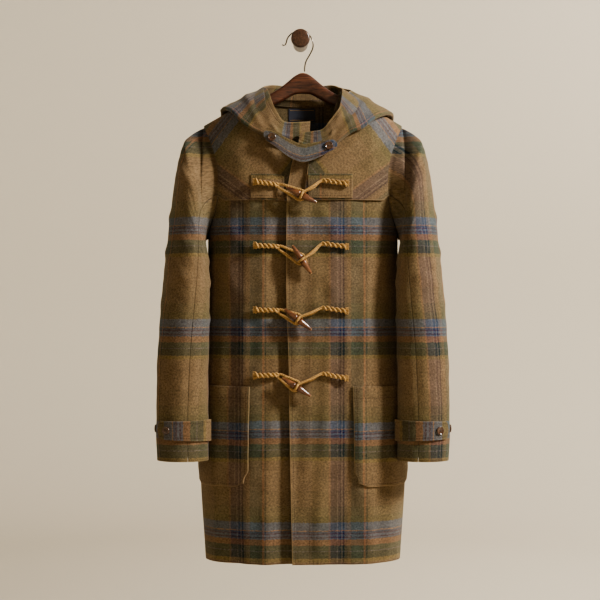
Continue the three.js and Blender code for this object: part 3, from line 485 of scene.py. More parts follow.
def stripes(tree, coordinate, bands):
    """A colour ramp that repeats along a coordinate in metres."""
    turned = calculate(tree, "FRACT", calculate(tree, "DIVIDE", coordinate, REPEAT * MM))
    ramp = tree.nodes.new("ShaderNodeValToRGB")
    ramp.color_ramp.interpolation = "CONSTANT"
    elements = ramp.color_ramp.elements
    elements[0].position, elements[0].color = 0, (*yarn(bands[0][1]), 1)
    elements.remove(elements[1])
    for start, seen in bands[1:]:
        element = elements.new(start / REPEAT)
        element.color = (*yarn(seen), 1)
    tree.links.new(turned, ramp.inputs[0])
    return ramp.outputs["Color"]


def stretched(tree, value, seen, wanted):
    """A value that runs over one range, made to run over another."""
    made = tree.nodes.new("ShaderNodeMapRange")
    names = ("From Min", "From Max", "To Min", "To Max")
    for title, number in zip(names, (*seen, *wanted)):
        made.inputs[title].default_value = number
    tree.links.new(value, made.inputs["Value"])
    return made.outputs["Result"]

# %% The brushed wool material
STITCH_FROM_EDGE = 6.0


def wool(name, speckle=0.75):
    material, nodes, links = new_material(name)
    tree = material.node_tree
    shader = nodes["Principled BSDF"]
    uv = node(nodes, "ShaderNodeUVMap", uv_map="plaid")
    wander = node(nodes, "ShaderNodeTexNoise", {"Scale": 330.0, "Detail": 3.0, "Roughness": 0.7})
    links.new(uv.outputs["UV"], wander.inputs["Vector"])
    shift = node(nodes, "ShaderNodeVectorMath", operation="MULTIPLY_ADD")
    shift.inputs[1].default_value = (0.007, 0.007, 0)
    links.new(wander.outputs["Color"], shift.inputs[0])
    links.new(uv.outputs["UV"], shift.inputs[2])
    parts = node(nodes, "ShaderNodeSeparateXYZ")
    links.new(shift.outputs["Vector"], parts.inputs["Vector"])
    warp = stripes(tree, parts.outputs["X"], WARP)
    weft = stripes(tree, parts.outputs["Y"], WEFT)

    steady = node(nodes, "ShaderNodeSeparateXYZ")
    links.new(uv.outputs["UV"], steady.inputs["Vector"])
    diagonal = calculate(tree, "ADD", steady.outputs["X"], steady.outputs["Y"])
    twill = calculate(tree, "SINE", calculate(tree, "MULTIPLY", diagonal, 2 * math.pi / 0.0024))
    share = calculate(tree, "MULTIPLY_ADD", twill, 0.2, BLEND)
    woven = blend_colours(tree, share, warp, weft)

    fibres = node(nodes, "ShaderNodeTexNoise", {"Scale": 250.0, "Detail": 5.0, "Roughness": 0.9})
    links.new(uv.outputs["UV"], fibres.inputs["Vector"])
    flecks = stretched(tree, fibres.outputs["Fac"], (0.3, 0.7), (1 - speckle, 1 + speckle))
    clouds = node(nodes, "ShaderNodeTexNoise", {"Scale": 38.0, "Detail": 3.0})
    links.new(uv.outputs["UV"], clouds.inputs["Vector"])
    shade = stretched(tree, clouds.outputs["Fac"], (0.25, 0.75), (0.86, 1.12))
    level = calculate(tree, "MULTIPLY", flecks, shade)
    grey = node(nodes, "ShaderNodeCombineColor")
    for channel in ("Red", "Green", "Blue"):
        links.new(level, grey.inputs[channel])
    speckled = blend_colours(tree, 1.0, woven, grey.outputs["Color"], "MULTIPLY")

    dashes = calculate(tree, "SINE", calculate(tree, "MULTIPLY", diagonal, 2 * math.pi / 0.0045))
    dashed = calculate(tree, "GREATER_THAN", dashes, -0.5)
    seams = []
    for title in ("edge", "facing"):
        distance = node(nodes, "ShaderNodeAttribute", attribute_name=title)
        off = calculate(tree, "SUBTRACT", distance.outputs["Fac"], STITCH_FROM_EDGE)
        seams.append(calculate(tree, "LESS_THAN", calculate(tree, "ABSOLUTE", off), 0.8))
        if title == "edge":
            # a strip 1.6 mm wide along each finished edge: painted highlight of the turned edge, with some
            # rubbed wear
            edge_highlight_and_wear = calculate(tree, "LESS_THAN", distance.outputs["Fac"], 1.6)
    stitch_line = calculate(tree, "MAXIMUM", *seams)
    stitched = calculate(tree, "MULTIPLY", stitch_line, dashed)
    sewn = blend_colours(tree, calculate(tree, "MULTIPLY", stitched, 0.55), speckled, linear(58, 40, 28))
    # lightens the cloth towards pale tan along its finished edges: painted highlight, with some wear
    highlit_and_rubbed = blend_colours(tree, calculate(tree, "MULTIPLY", edge_highlight_and_wear, 0.22), sewn, linear(190, 160, 118))
    links.new(highlit_and_rubbed, shader.inputs["Base Color"])

    nap = node(nodes, "ShaderNodeTexNoise", {"Scale": 900.0, "Detail": 2.0})
    links.new(uv.outputs["UV"], nap.inputs["Vector"])
    raised = calculate(tree, "MULTIPLY_ADD", twill, 0.18, nap.outputs["Fac"])
    relief = calculate(tree, "SUBTRACT", raised, calculate(tree, "MULTIPLY", stitch_line, 1.6))
    bump = node(nodes, "ShaderNodeBump", {"Strength": 0.55, "Distance": 0.0008})
    links.new(relief, bump.inputs["Height"])
    links.new(bump.outputs["Normal"], shader.inputs["Normal"])
    shader.inputs["Roughness"].default_value = 0.92
    shader.inputs["Specular IOR Level"].default_value = 0.18
    shader.inputs["Sheen Weight"].default_value = 0.16
    shader.inputs["Sheen Roughness"].default_value = 0.45
    shader.inputs["Sheen Tint"].default_value = (0.9, 0.78, 0.62, 1)
    return material


coat_wool = wool("coat wool")
print("the plaid has", len(WARP), "warp stripes and", len(WEFT), "weft bands in", REPEAT, "mm")

# %% [markdown]
# ## The back and the two fronts
# The body is three panels, sewn at the sides and shoulders. The fronts run from neck to
# hem in one length, and the wearer's left front laps over the right one. Each panel is a
# grid: one direction runs across the cloth and the other runs down it. The side seams and
# shoulders leave a hair's gap, which the modelled seams need.

# %% Where the plaid lies
# The first colour of each stripe set lies this far from the centre line and the peg.
WARP_START = 59.0
WEFT_START = 378.5


def girth_length(side, x, drop):
    """Arc length round the body from its centre line, which is the width in flat cloth."""
    steps = np.linspace(0, 1, 17)
    path = [girth_point(side, girth_angle(x, drop) * s, drop) for s in steps]
    return np.sign(x) * sum(np.linalg.norm(b - a, axis=-1) for a, b in zip(path, path[1:]))


def upright_plaid(side, x, drop):
    """The plaid of a panel that hangs straight, with stripes down and bands across."""
    shift = 0.0 if side < 0 else 40.0
    return np.stack([girth_length(side, x, drop) - WARP_START + shift, drop - WEFT_START], -1)


def bias_plaid(x, drop, turn, shift):
    """The plaid of a panel that was cut slanting."""
    c, s = math.cos(turn), math.sin(turn)
    return np.stack([x * c + drop * s + shift[0], x * s - drop * c + shift[1]], -1)


def small_folds(side, x, drop):
    """The finer hanging folds, on top of the large ones."""
    height = 1.5 * waves(x * 2.2, drop * 0.55, 3 + side, 120) + 0.7 * waves(x, drop, 7 + side, 42)
    if side < 0:
        height = height + creases(x, drop, FRONT_CREASES)
    else:
        height = height + creases(x, drop, BACK_CREASES)
    return height * smooth((drop - 130) / 90)


FRONT_CREASES = [
    (170, 390, 92, 470, 13, 2.6),
    (182, 430, 110, 560, 15, 2.2),
    (-172, 380, -96, 452, 13, 2.4),
    (-184, 424, -120, 548, 15, 2.4),
    (28, 350, 66, 420, 12, 1.8),
    (30, 470, 74, 540, 13, 1.8),
    (-52, 352, -86, 410, 11, 1.6),
    (120, 640, 128, 1090, 17, 3.2),
    (-122, 620, -118, 1090, 18, 3.4),
    (36, 720, 44, 1100, 19, 2.4),
    (-60, 700, -56, 1100, 17, 2.2),
    (176, 560, 186, 1000, 15, 3.0),
    (-178, 540, -186, 1010, 15, 3.2),
]
BACK_CREASES = [
    (168, 390, 88, 462, 14, 2.6),
    (-166, 396, -84, 472, 14, 2.6),
    (150, 500, 140, 1080, 19, 3.4),
    (-146, 470, -152, 1080, 20, 3.2),
    (58, 560, 66, 1100, 22, 2.8),
    (-62, 520, -54, 1100, 21, 2.8),
    (2, 480, 6, 1090, 20, 2.2),
]


def sink(x):
    """How much deeper the right front lies where the left front laps over it."""
    return 10 * (1 - smooth((x - 36) / 44))


def pressed(x, drop):
    return PRESSED * (1 - smooth((drop - 300) / 30)) * (1 - smooth((np.abs(x) - 176) / 24))


def front_edge(drop):
    return read(FRONT_EDGE, drop, "x")


def front_panel(hand):
    start_x = float(front_edge(236.0)) if hand > 0 else -45.0
    edge = front_edge if hand > 0 else (lambda drop: np.full(np.shape(drop), -45.0))

    def shape(u, v):
        x, drop = front_place(u, v, edge, start_x, 0.21, HEM, 1.0)
        point, normal = on_front(hand, x, drop)
        side_fade = 1 - smooth((u - 0.9) / 0.1)
        near_edge = smooth(u / 0.05) if hand > 0 else 1.0
        height = small_folds(-1, hand * x, drop) * side_fade * mix(0.35, 1, near_edge)
        height = height - pressed(x, drop)
        if hand < 0:
            height = height - sink(x)
        height = height + (2.2 * np.exp(-(((x - edge(drop)) / 6) ** 2)) if hand > 0 else 0)
        point = point + normal * height[:, None]
        plaid = upright_plaid(-1, hand * x, drop)
        hem_away = HEM - drop
        if hand > 0:
            edge_away = np.minimum(np.maximum(x - edge(drop), 0), hem_away + 4)
            return point, normal, plaid, edge_away, np.abs(x - 13.0) + STITCH_FROM_EDGE
        return point, normal, plaid, hem_away + 4, FAR

    return shape


def back_panel(u, v):
    x, drop = back_place(u * 2 - 1, v, 0.23, HEM, 1.0)
    point, normal = on_back(x, drop)
    side_fade = 1 - smooth((np.abs(u * 2 - 1) - 0.9) / 0.1)
    height = small_folds(1, x, drop) * side_fade - pressed(x, drop)
    return point + normal * height[:, None], normal, upright_plaid(1, x, drop), HEM - drop + 4, FAR


for hand, word in ((1, "left"), (-1, "right")):
    piece = lay_cloth(f"front_{word}_cloth", 90, 300, front_panel(hand))
    thicken(piece, CLOTH)
    finish_cloth(piece, coat_wool, [f"front_{word}"], (0.36, 1.02))

back = lay_cloth("back_cloth", 150, 280, back_panel)
thicken(back, CLOTH)
finish_cloth(back, coat_wool, ["back"], (0.50, 1.04))

# %% [markdown]
# ## The yokes
# A second layer of cloth covers the shoulders. It is cut on the slant, so that its
# stripes run across the shoulder. Its lower edge is turned in and stitched down.

# %% Yokes
YOKE_BOTTOM, YOKE_BACK_BOTTOM = 340.0, 352.0
YOKE_TURN = math.radians(52.5)
YOKE_SHIFT = (88.7, 4.5)


def yoke_inner_edge(hand, drop):
    if hand > 0:
        return 4 + 6 * smooth((330 - drop) / 70)
    return np.full(np.shape(drop), -20.0)


def yoke_front(hand):
    start_x = 10.0 if hand > 0 else -20.0

    def shape(u, v):
        edge = lambda drop: yoke_inner_edge(hand, drop)
        x, drop = front_place(u, v, edge, start_x, 1.0, YOKE_BOTTOM, 2.2)
        inner, outer = x - edge(drop), armhole_x(np.minimum(drop, ARMHOLE_BOTTOM)) - 2.2 - x
        corner = 20 * (1 - smooth(np.minimum(np.maximum(inner, 0), 20) / 20)) ** 2
        corner = corner + 20 * (1 - smooth(np.minimum(np.maximum(outer, 0), 20) / 20)) ** 2
        drop = drop - corner * smooth((v - 0.8) / 0.2) * 0.5
        point, normal = on_front(hand, x, drop)
        calm = smooth((drop - 160) / 60) * smooth((1 - v) / 0.2)
        height = LAY + CLOTH + 0.5 * waves(x, drop, 11 + hand, 60) * calm
        if hand < 0:
            height = height - sink(x)
        point = point + normal * height[:, None]
        plaid = bias_plaid(x, drop, YOKE_TURN, YOKE_SHIFT)
        lower = (1 - v) * (YOKE_BOTTOM - 100)
        return point, normal, plaid, np.minimum(lower, np.maximum(inner, 0) + (0 if hand > 0 else 3)), FAR

    return shape


def yoke_behind(u, v):
    x, drop = back_place(u * 2 - 1, v, 1.0, YOKE_BACK_BOTTOM, 2.2)
    point, normal = on_back(x, drop)
    height = LAY + CLOTH + 0.5 * waves(x, drop, 17, 60) * smooth((drop - 160) / 60) * smooth((1 - v) / 0.2)
    plaid = bias_plaid(np.abs(x), drop, YOKE_TURN, YOKE_SHIFT)
    return point + normal * height[:, None], normal, plaid, (1 - v) * 230, FAR


for hand, word in ((1, "left"), (-1, "right")):
    piece = lay_cloth(f"yoke_{word}_cloth", 72, 84, yoke_front(hand))
    thicken(piece, CLOTH)
    finish_cloth(piece, coat_wool, [f"yoke_{word}"], (0.25, 0.30))
piece = lay_cloth("yoke_back_cloth", 120, 84, yoke_behind)
thicken(piece, CLOTH)
finish_cloth(piece, coat_wool, ["yoke_back"], (0.44, 0.30))

# %% [markdown]
# ## The sleeves
# Each sleeve is cut as two panels that are sewn along the front and the back of the arm.
# The rings below say where the arm of cloth goes: out from the shoulder, round its top,
# then almost straight down. Folds gather at the elbow and under the armhole.

# %% Sleeve rings
SLEEVE = table("at outX outDrop inX inDrop centreY deep turn pinch seat", [
    (0, 204.8, float(ridge(205.0)), 197.6, 409, -88, 50, 0, 29, 1),
    (0.03, 214, 190, 200, 417, -93, 55, 2, 22, 0.6),
    (0.08, 233, 205, 200, 427, -99, 60, 4, 13, 0.25),
    (0.14, 249, 232, 198, 438, -105, 62, 7, 6, 0.05),
    (0.22, 259, 278, 194.5, 453, -111, 62, 10, 1, 0),
    (0.32, 266, 340, 192, 476, -119, 61, 12, 0, 0),
    (0.44, 275, 425, 190, 520, -129, 58, 12, 0, 0),
    (0.56, 284, 520, 189.5, 575, -138, 54, 9, 0, 0),
    (0.68, 291, 615, 190, 640, -144, 50, 5, 0, 0),
    (0.8, 295, 715, 190.5, 725, -147, 47, 2, 0, 0),
    (0.9, 295.5, 790, 190, 792, -148, 45, 0, 0, 0),
    (1, 293.5, 863, 190, 863, -149, 44, 0, 0, 0),
])
SLEEVE_LENGTH = 650.0


def sleeve_point(angle, at):
    """A place on the wearer's left sleeve. Angle 0 is outermost, and 90 degrees is in front."""
    sine, cosine = np.sin(angle), np.cos(angle)
    out = (1 + cosine) / 2
    x = mix(read(SLEEVE, at, "inX"), read(SLEEVE, at, "outX"), out)
    x = x - read(SLEEVE, at, "turn") * sine - read(SLEEVE, at, "pinch") * sine**2
    drop = mix(read(SLEEVE, at, "inDrop"), read(SLEEVE, at, "outDrop"), out)
    own = read(SLEEVE, at, "centreY") - read(SLEEVE, at, "deep") * sine
    seat = read(SLEEVE, at, "seat")
    seated = np.where(sine >= 0, body_point(-1, x, drop)[..., 1], body_point(1, x, drop)[..., 1])
    return np.stack([x, mix(own, seated, seat), -drop], -1)


def on_sleeve(angle, at):
    point = sleeve_point(angle, at)
    low = np.clip(at, 0.001, 0.999)
    around = sleeve_point(angle + 0.002, low) - sleeve_point(angle - 0.002, low)
    down = sleeve_point(angle, low + 0.001) - sleeve_point(angle, low - 0.001)
    normal = unit(np.cross(around, down))
    axis = np.stack([(read(SLEEVE, at, "outX") + read(SLEEVE, at, "inX")) / 2, read(SLEEVE, at, "centreY"),
                     -(read(SLEEVE, at, "outDrop") + read(SLEEVE, at, "inDrop")) / 2], -1)
    turn = np.sign((normal * (point - axis)).sum(-1, keepdims=True))
    return point, normal * turn


SLEEVE_CREASES = [
    (-40, 0.06, 60, 0.16, 12, 2.6),
    (110, 0.10, 20, 0.24, 12, 2.4),
    (-90, 0.30, 30, 0.40, 11, 2.8),
    (120, 0.34, 30, 0.44, 11, 3.0),
    (-60, 0.45, 60, 0.50, 10, 2.8),
    (100, 0.47, 10, 0.56, 10, 2.4),
    (-30, 0.58, 70, 0.64, 11, 2.2),
    (20, 0.66, 40, 0.98, 12, 2.4),
    (-70, 0.62, -60, 0.98, 13, 2.4),
    (230, 0.20, 170, 0.32, 14, 2.6),
    (150, 0.38, 230, 0.48, 14, 2.6),
    (235, 0.50, 160, 0.60, 14, 2.4),
]
AROUND = 0.9
sleeve_lines = [
    (a * AROUND, b * SLEEVE_LENGTH, c * AROUND, d * SLEEVE_LENGTH, width, rise)
    for a, b, c, d, width, rise in SLEEVE_CREASES
]
SLEEVE_PLAID_START = 70.0


def sleeve_panel(hand, first, last):
    def shape(u, v):
        degrees = mix(first, last, u)
        angle = np.radians(degrees)
        point, normal = on_sleeve(angle, v)
        down = v * SLEEVE_LENGTH
        height = creases(degrees * AROUND, down, sleeve_lines)
        height = height + waves(degrees, down, 23, 110) + 0.5 * waves(degrees, down, 29, 40)
        seam = smooth(u / 0.09) * smooth((1 - u) / 0.09)
        calm = smooth((v - 0.05) / 0.08) * mix(1, 0.3, smooth((v - 0.9) / 0.1))
        height = height * seam * calm - 0.9 * (1 - seam)
        point = point + normal * height[:, None]
        point[:, 0] *= hand
        normal[:, 0] *= hand
        drop = -point[:, 2]
        start = SLEEVE_PLAID_START if hand > 0 else 38.0
        plaid = np.stack([-hand * degrees * 0.95 + start, drop - WEFT_START], -1)
        return point, normal, plaid, (1 - v) * SLEEVE_LENGTH + 3, FAR

    return shape


for hand, word in ((1, "left"), (-1, "right")):
    for part, first, last, columns, flat in (
        ("top", -104.5, 104.5, 84, (0.26, 0.72)),
        ("under", 105.5, 254.5, 60, (0.20, 0.60)),
    ):
        piece = lay_cloth(f"sleeve_{part}_{word}_cloth", columns, 220, sleeve_panel(hand, first, last))
        thicken(piece, CLOTH)
        finish_cloth(piece, coat_wool, [f"sleeve_{part}_{word}"], flat)

# %% [markdown]
# ## The hood
# The hood hangs down the back and folds over itself beside the neck. Each half is one
# sheet with three parts: a lower layer that lies on the shoulder, a round fold, and an
# upper layer that comes back up to the hood's rim. A narrow gusset joins the halves
# behind. The table gives the fold and the rim along the neck seam.

# %% Hood sections
HOOD_LEFT = table("at neck foldX fold roll rimX rimY rimDrop", [
    (0, -8, -9.5, -186, 3, -6, -160, 205),
    (0.1, 16, 21, -193, 3, 19, -160, 202),
    (0.2, 38, 50, -174, 4, 40, -160, 197),
    (0.3, 54, 66.6, -157, 5, 55, -159, 179),
    (0.4, 68, 93, -122, 5, 75, -149, 151),
    (0.5, 80, 126.6, -87, 5, 92, -98, 116),
    (0.6, 90, 176, -4, 5, 100, -60, 105),
    (0.7, 108, 172, 77, 8, 84, -33, 97),
    (0.8, 132, 140, 187, 11, 62, -17, 88),
    (0.9, 156, 78, 288, 12, 33, -10, 90),
    (1, 180, 0, 339, 12, 0, -8, 93),
    (1.1, 204, -78, 288, 12, -33, -10, 90),
])
HOOD_RIGHT = table("at neck foldX fold roll rimX rimY rimDrop", [
    (0, -12, -13, -174, 3, -15, -141, 180),
    (0.1, 12, 16, -183, 3, 12, -148, 182),
    (0.2, 34, 46, -170, 4, 35, -151, 182),
    (0.3, 54, 75, -137, 5, 46, -155, 173),
    (0.4, 68, 97, -114, 5, 61, -147, 144),
    (0.5, 80, 124, -78, 5, 72, -102, 109),
    (0.6, 90, 158, -3, 5, 82, -60, 98),
    (0.7, 108, 160, 84, 8, 74, -33, 91),
    (0.8, 132, 136, 189, 11, 58, -17, 88),
    (0.9, 156, 78, 288, 12, 33, -10, 90),
    (1, 180, 0, 339, 12, 0, -8, 93),
    (1.1, 204, -78, 288, 12, -33, -10, 90),
])
HOOD_LIFT, HOOD_UNDERLAP, HOOD_GUSSET = 7.6, 6.0, 0.88


def over_ridge(x, along):
    """Side and drop of a place that lies so far over the shoulder: the front is negative."""
    roll = np.where(along < 0, ROLL[-1], ROLL[1])
    turn = np.minimum(np.abs(along) / roll, np.pi / 2)
    straight = np.maximum(np.abs(along) - roll * np.pi / 2, 0)
    return along < 0, ridge(x) + roll * (1 - np.cos(turn)) + straight


def along_from_ridge(front, x, drop):
    roll = np.where(front, ROLL[-1], ROLL[1])
    below = np.maximum(drop - ridge(x), 0)
    length = np.where(below < roll, roll * np.arccos(np.clip(1 - below / roll, -1, 1)),
                      roll * np.pi / 2 + below - roll)
    return np.where(front, -length, length)


# %% The hood's surface
def hood_point(hand, at, t):
    rows = HOOD_LEFT if hand > 0 else HOOD_RIGHT
    get = lambda column: read(rows, at, column)
    turn = np.radians(get("neck"))
    neck_x = NECK_HALF * np.sin(turn)
    in_front = get("neck") < 90
    lowest = np.where(in_front, NECK_LOWEST[-1], NECK_LOWEST[1])
    neck_along = along_from_ridge(in_front, neck_x, neck_drop(neck_x, lowest))
    if hand < 0:
        neck_along = neck_along + HOOD_UNDERLAP * smooth(1 - at / 0.3)

    def lying(s, lift):
        x = mix(neck_x, get("foldX"), s)
        front, drop = over_ridge(x, mix(neck_along, get("fold"), s))
        ahead, ahead_normal = on_body(-1, girth_angle(x, drop), drop)
        behind, behind_normal = on_body(1, girth_angle(x, drop), drop)
        point = np.where(front[..., None], ahead, behind)
        normal = np.where(front[..., None], ahead_normal, behind_normal)
        sunk = np.where(front, sink(x) * smooth((drop - 150) / 60), 0) if hand < 0 else 0
        return point + normal * (HOOD_LIFT + lift - sunk)[..., None], normal

    roll = get("roll")
    lower = lying(np.clip(t / 0.4, 0, 1), 0 * t)[0]
    tip, normal = lying(np.ones_like(t), roll)
    outwards = unit(tip - lying(np.full_like(t, 0.96), roll)[0])
    bend = np.clip((t - 0.4) / 0.2, 0, 1) * np.pi - np.pi / 2
    fold = tip + outwards * (roll * np.cos(bend))[..., None] + normal * (roll * np.sin(bend))[..., None]
    s = np.clip(1 - (t - 0.6) / 0.4, 0, 1)
    start, far = lying(0 * t, 0 * t)[0], lying(np.ones_like(t), 0 * t)[0]
    bulge = lying(s, 0 * t)[0] - mix(start, far, s[..., None])
    rim = np.stack([get("rimX"), get("rimY"), -get("rimDrop")], -1)
    upper = mix(rim, lying(np.ones_like(t), 2 * roll)[0], s[..., None]) + bulge
    point = np.where((t <= 0.4)[..., None], lower, np.where((t < 0.6)[..., None], fold, upper))
    point[..., 0] *= hand
    return point


def on_hood(hand, at, t):
    """Places on the hood and the directions straight out of its cloth."""
    step = 0.0008
    near_at, near_t = np.clip(at, 0.002, 1.05), np.clip(t, 0.001, 0.999)
    around = hood_point(hand, near_at + step, near_t) - hood_point(hand, near_at - step, near_t)
    across = hood_point(hand, near_at, near_t + step) - hood_point(hand, near_at, near_t - step)
    return hood_point(hand, at, t), unit(np.cross(around, across)) * hand


HOOD_CREASES = [
    (60, 90, 230, 150, 11, 2.2),
    (110, 60, 300, 118, 12, 2.0),
    (40, 210, 200, 250, 11, 2.4),
    (180, 205, 380, 262, 13, 2.8),
    (300, 60, 470, 130, 16, 3.0),
    (330, 190, 520, 250, 16, 3.2),
    (430, 90, 560, 160, 16, 2.6),
]


def hood_sheet(hand, first, last):
    def shape(u, v):
        at, t = mix(first, last, u), v
        point, normal = on_hood(hand, at, t)
        a, b = at * 560, t * 300
        height = creases(a, b, HOOD_CREASES) + 0.8 * waves(a, b, 41 + hand, 90) + 0.4 * waves(a, b, 47, 36)
        off_fold = 1 - 0.8 * smooth((0.2 - np.abs(t - 0.5)) / 0.2)
        quiet = smooth((t - 0.03) / 0.1) * smooth((1 - t) / 0.06) * off_fold
        lay_quiet = np.where(t < 0.42, 0.15, 1.0)
        height = height * quiet * lay_quiet * smooth((0.88 - at) / 0.06)
        point = point + normal * height[:, None]
        first_band = 0.5 if hand > 0 else 0.54
        plaid = np.stack([b + 85, (first_band - at) * 560 + 16 * t], -1)
        return point, normal, plaid, (1 - t) * 118 + 0.2, (1 - t) * 118 + 0.2 - 3.5

    return shape


for hand, word in ((1, "left"), (-1, "right")):
    piece = lay_cloth(f"hood_{word}_cloth", 190, 130, hood_sheet(hand, 0.0, 0.8792))
    thicken(piece, HOOD_CLOTH)
    finish_cloth(piece, coat_wool, [f"hood_{word}"], (0.46, 0.36))


def hood_middle(u, v):
    point, normal = np.empty((len(u), 3)), np.empty((len(u), 3))
    plaid = np.empty((len(u), 2))
    for hand in (1, -1):
        here = (u >= 0.5) if hand > 0 else (u < 0.5)
        share = np.abs(u[here] * 2 - 1)
        at = mix(1.0, 0.8808, share)
        point[here], normal[here] = on_hood(hand, at, v[here])
        plaid[here] = np.stack([hand * (1 - at) * 560 + 100, v[here] * 300], -1)
    return point, normal, plaid, (1 - v) * 118 + 0.2, FAR


piece = lay_cloth("hood_centre_cloth", 48, 130, hood_middle)
thicken(piece, HOOD_CLOTH)
finish_cloth(piece, coat_wool, ["hood_centre"], (0.22, 0.40))

# %% [markdown]
# ## Pockets, tab and straps
# Two patch pockets lie on the fronts. A short tab crosses the throat under two buttons,
# and a strap goes round each cuff. All are single cut pieces with turned edges, laid on
# the cloth below and stitched close to the edge.

# %% Patch pockets
POCKET_INNER, POCKET_OUTER, POCKET_TOP, POCKET_BOTTOM = 99.0, 206.0, 714.0, 916.0


def pocket(hand):
    first = float(girth_angle(POCKET_INNER + (0 if hand > 0 else 6), POCKET_TOP))
    last = float(girth_angle(POCKET_OUTER, POCKET_TOP))

    def shape(u, v):
        both = np.maximum(np.abs(2 * u - 1) + v - 1, 0) * smooth(v * 2 - 1)
        cut = 24 * 0.3 * smooth((both - 0.6) / 0.4)
        q = mix(first, last, u) + (0.5 - u) * cut / 110
        drop = mix(POCKET_TOP, POCKET_BOTTOM, v) - cut
        point, normal = on_body(-1, hand * q, drop)
        below = small_folds(-1, point[:, 0], drop)
        rim = np.minimum(np.minimum(u, 1 - u) * 130, np.minimum(v + 0.02, 1 - v) * 202)
        height = LAY + CLOTH + np.maximum(below, 0) * 0.9 + 0.7 * smooth(rim / 30)
        plaid = upright_plaid(-1, point[:, 0], drop) + np.array([3.0, -4.0])
        point = point + normal * height[:, None]
        away = np.minimum(np.minimum(u, 1 - u) * 140, (1 - v) * 202)
        return point, normal, plaid, away, v * 202 - 18

    return shape


for hand, word in ((1, "left"), (-1, "right")):
    piece = lay_cloth(f"pocket_{word}_cloth", 48, 72, pocket(hand))
    thicken(piece, CLOTH)
    finish_cloth(piece, coat_wool, [f"pocket_{word}"], (0.17, 0.23))

# %% Throat tab
TAB = table("at x drop half", [
    (0, -77, 211, 4),
    (0.08, -70, 214, 11),
    (0.2, -55, 221, 14.5),
    (0.4, -28, 239, 18),
    (0.55, -3, 249, 18.3),
    (0.7, 22, 245, 17),
    (0.88, 50, 234.5, 12.5),
    (0.96, 61, 232, 9),
    (1, 67, 232, 3),
])
TAB_LIFT = 17.4


def throat_tab(u, v):
    x = read(TAB, u, "x")
    half = read(TAB, u, "half")
    drop = read(TAB, u, "drop") + half * (2 * v - 1)
    point, normal = on_body(-1, girth_angle(x, drop), drop)
    height = TAB_LIFT + CLOTH + 0.5 * waves(x, drop, 53, 50)
    away = np.minimum(half * (1 - np.abs(2 * v - 1)), np.minimum(u, 1 - u) * 150)
    plaid = np.stack([x * 0.9 + 168, half * (2 * v - 1) + 7], -1)
    return point + normal * height[:, None], normal, plaid, away + 1.2, FAR


piece = lay_cloth("throat_tab_cloth", 72, 18, throat_tab)
thicken(piece, CLOTH)
finish_cloth(piece, coat_wool, ["throat_tab"], (0.18, 0.05))

# %% Cuff straps
STRAP_AT, STRAP_HALF, STRAP_FLARE, STRAP_INNER, STRAP_OUTER = 0.914, 0.024, 0.007, 170.0, 33.0


def cuff_strap(hand):
    def shape(u, v):
        rounded = np.sqrt(1 - np.maximum((u - 0.93) / 0.07, 0) ** 2 * 0.9)
        half = (STRAP_HALF + STRAP_FLARE * (1 - u)) * rounded
        angle = np.radians(mix(STRAP_INNER, STRAP_OUTER, u))
        point, normal = on_sleeve(angle, STRAP_AT + half * (2 * v - 1))
        height = LAY + 2.4 * (1 - smooth(u / 0.12)) + CLOTH
        point = point + normal * height[:, None]
        point[:, 0] *= hand
        normal[:, 0] *= hand
        away = np.minimum(half * (1 - np.abs(2 * v - 1)) * SLEEVE_LENGTH, np.minimum(u, 1 - u) * 130)
        plaid = np.stack([np.full_like(u, 110.0) + (v - 0.5) * 34, 92 - u * 112], -1)
        return point, normal, plaid, away + 1.5, FAR

    return shape


for hand, word in ((1, "left"), (-1, "right")):
    piece = lay_cloth(f"cuff_strap_{word}_cloth", 72, 20, cuff_strap(hand))
    thicken(piece, CLOTH)
    finish_cloth(piece, coat_wool, [f"cuff_strap_{word}"], (0.17, 0.06))

# %% Patches under the first cords
PATCH_TOP, PATCH_BOTTOM = 288.0, 337.0


def cord_patch(hand):
    first, last = (10.0, 99.0) if hand > 0 else (38.0, 104.0)

    def shape(u, v):
        x, drop = mix(first, last, u), mix(PATCH_TOP, PATCH_BOTTOM, v)
        point, normal = on_front(hand, x, drop)
        sunk = 0 if hand > 0 else sink(x)
        height = LAY + CLOTH + 0.8 + 1.6 - sunk + 0 * u
        point = point + normal * height[:, None]
        away = np.minimum(np.minimum(u, 1 - u) * (last - first), np.minimum(v, 1 - v) * 49)
        plaid = np.stack([x + 30, drop - PATCH_TOP + 66], -1)
        return point, normal, plaid, away + 1.5, FAR

    return shape


for hand, word in ((1, "left"), (-1, "right")):
    piece = lay_cloth(f"cord_patch_{word}_cloth", 40, 24, cord_patch(hand))
    thicken(piece, 1.6, 0.6)
    finish_cloth(piece, coat_wool, [f"cord_patch_{word}"], (0.11, 0.06))

# %% [markdown]
# ## Inside the back neck
# A strip of the coat's own cloth faces the back of the neck. Below it sits a woven label,
# which is left plain.

# %% Facing and label
def inside_back(x, drop, lift):
    point, normal = on_back(x, drop)
    return point + normal * lift, normal


def neck_facing(u, v):
    x = 66 * (u * 2 - 1)
    drop = neck_drop(x, NECK_LOWEST[1]) + 2.5 + 13 * v
    point, normal = inside_back(x, drop, -CLOTH - PRESSED - SEAM - 2.0)
    plaid = np.stack([x + 90, drop + 20], -1)
    return point, -normal, plaid, (1 - v) * 13 + 3, FAR


piece = lay_cloth("neck_facing_cloth", 60, 8, neck_facing)
thicken(piece, 2.0, 0.6)
finish_cloth(piece, coat_wool, ["neck_facing"], (0.16, 0.025))


def label_shape(u, v):
    x, drop = mix(-30.0, 26.0, u), mix(141.5, 169.0, v)
    point, normal = inside_back(x, drop, -CLOTH - PRESSED - SEAM / 2 - 0.8)
    return point, -normal, np.stack([u * 56, v * 27.5], -1), FAR, FAR


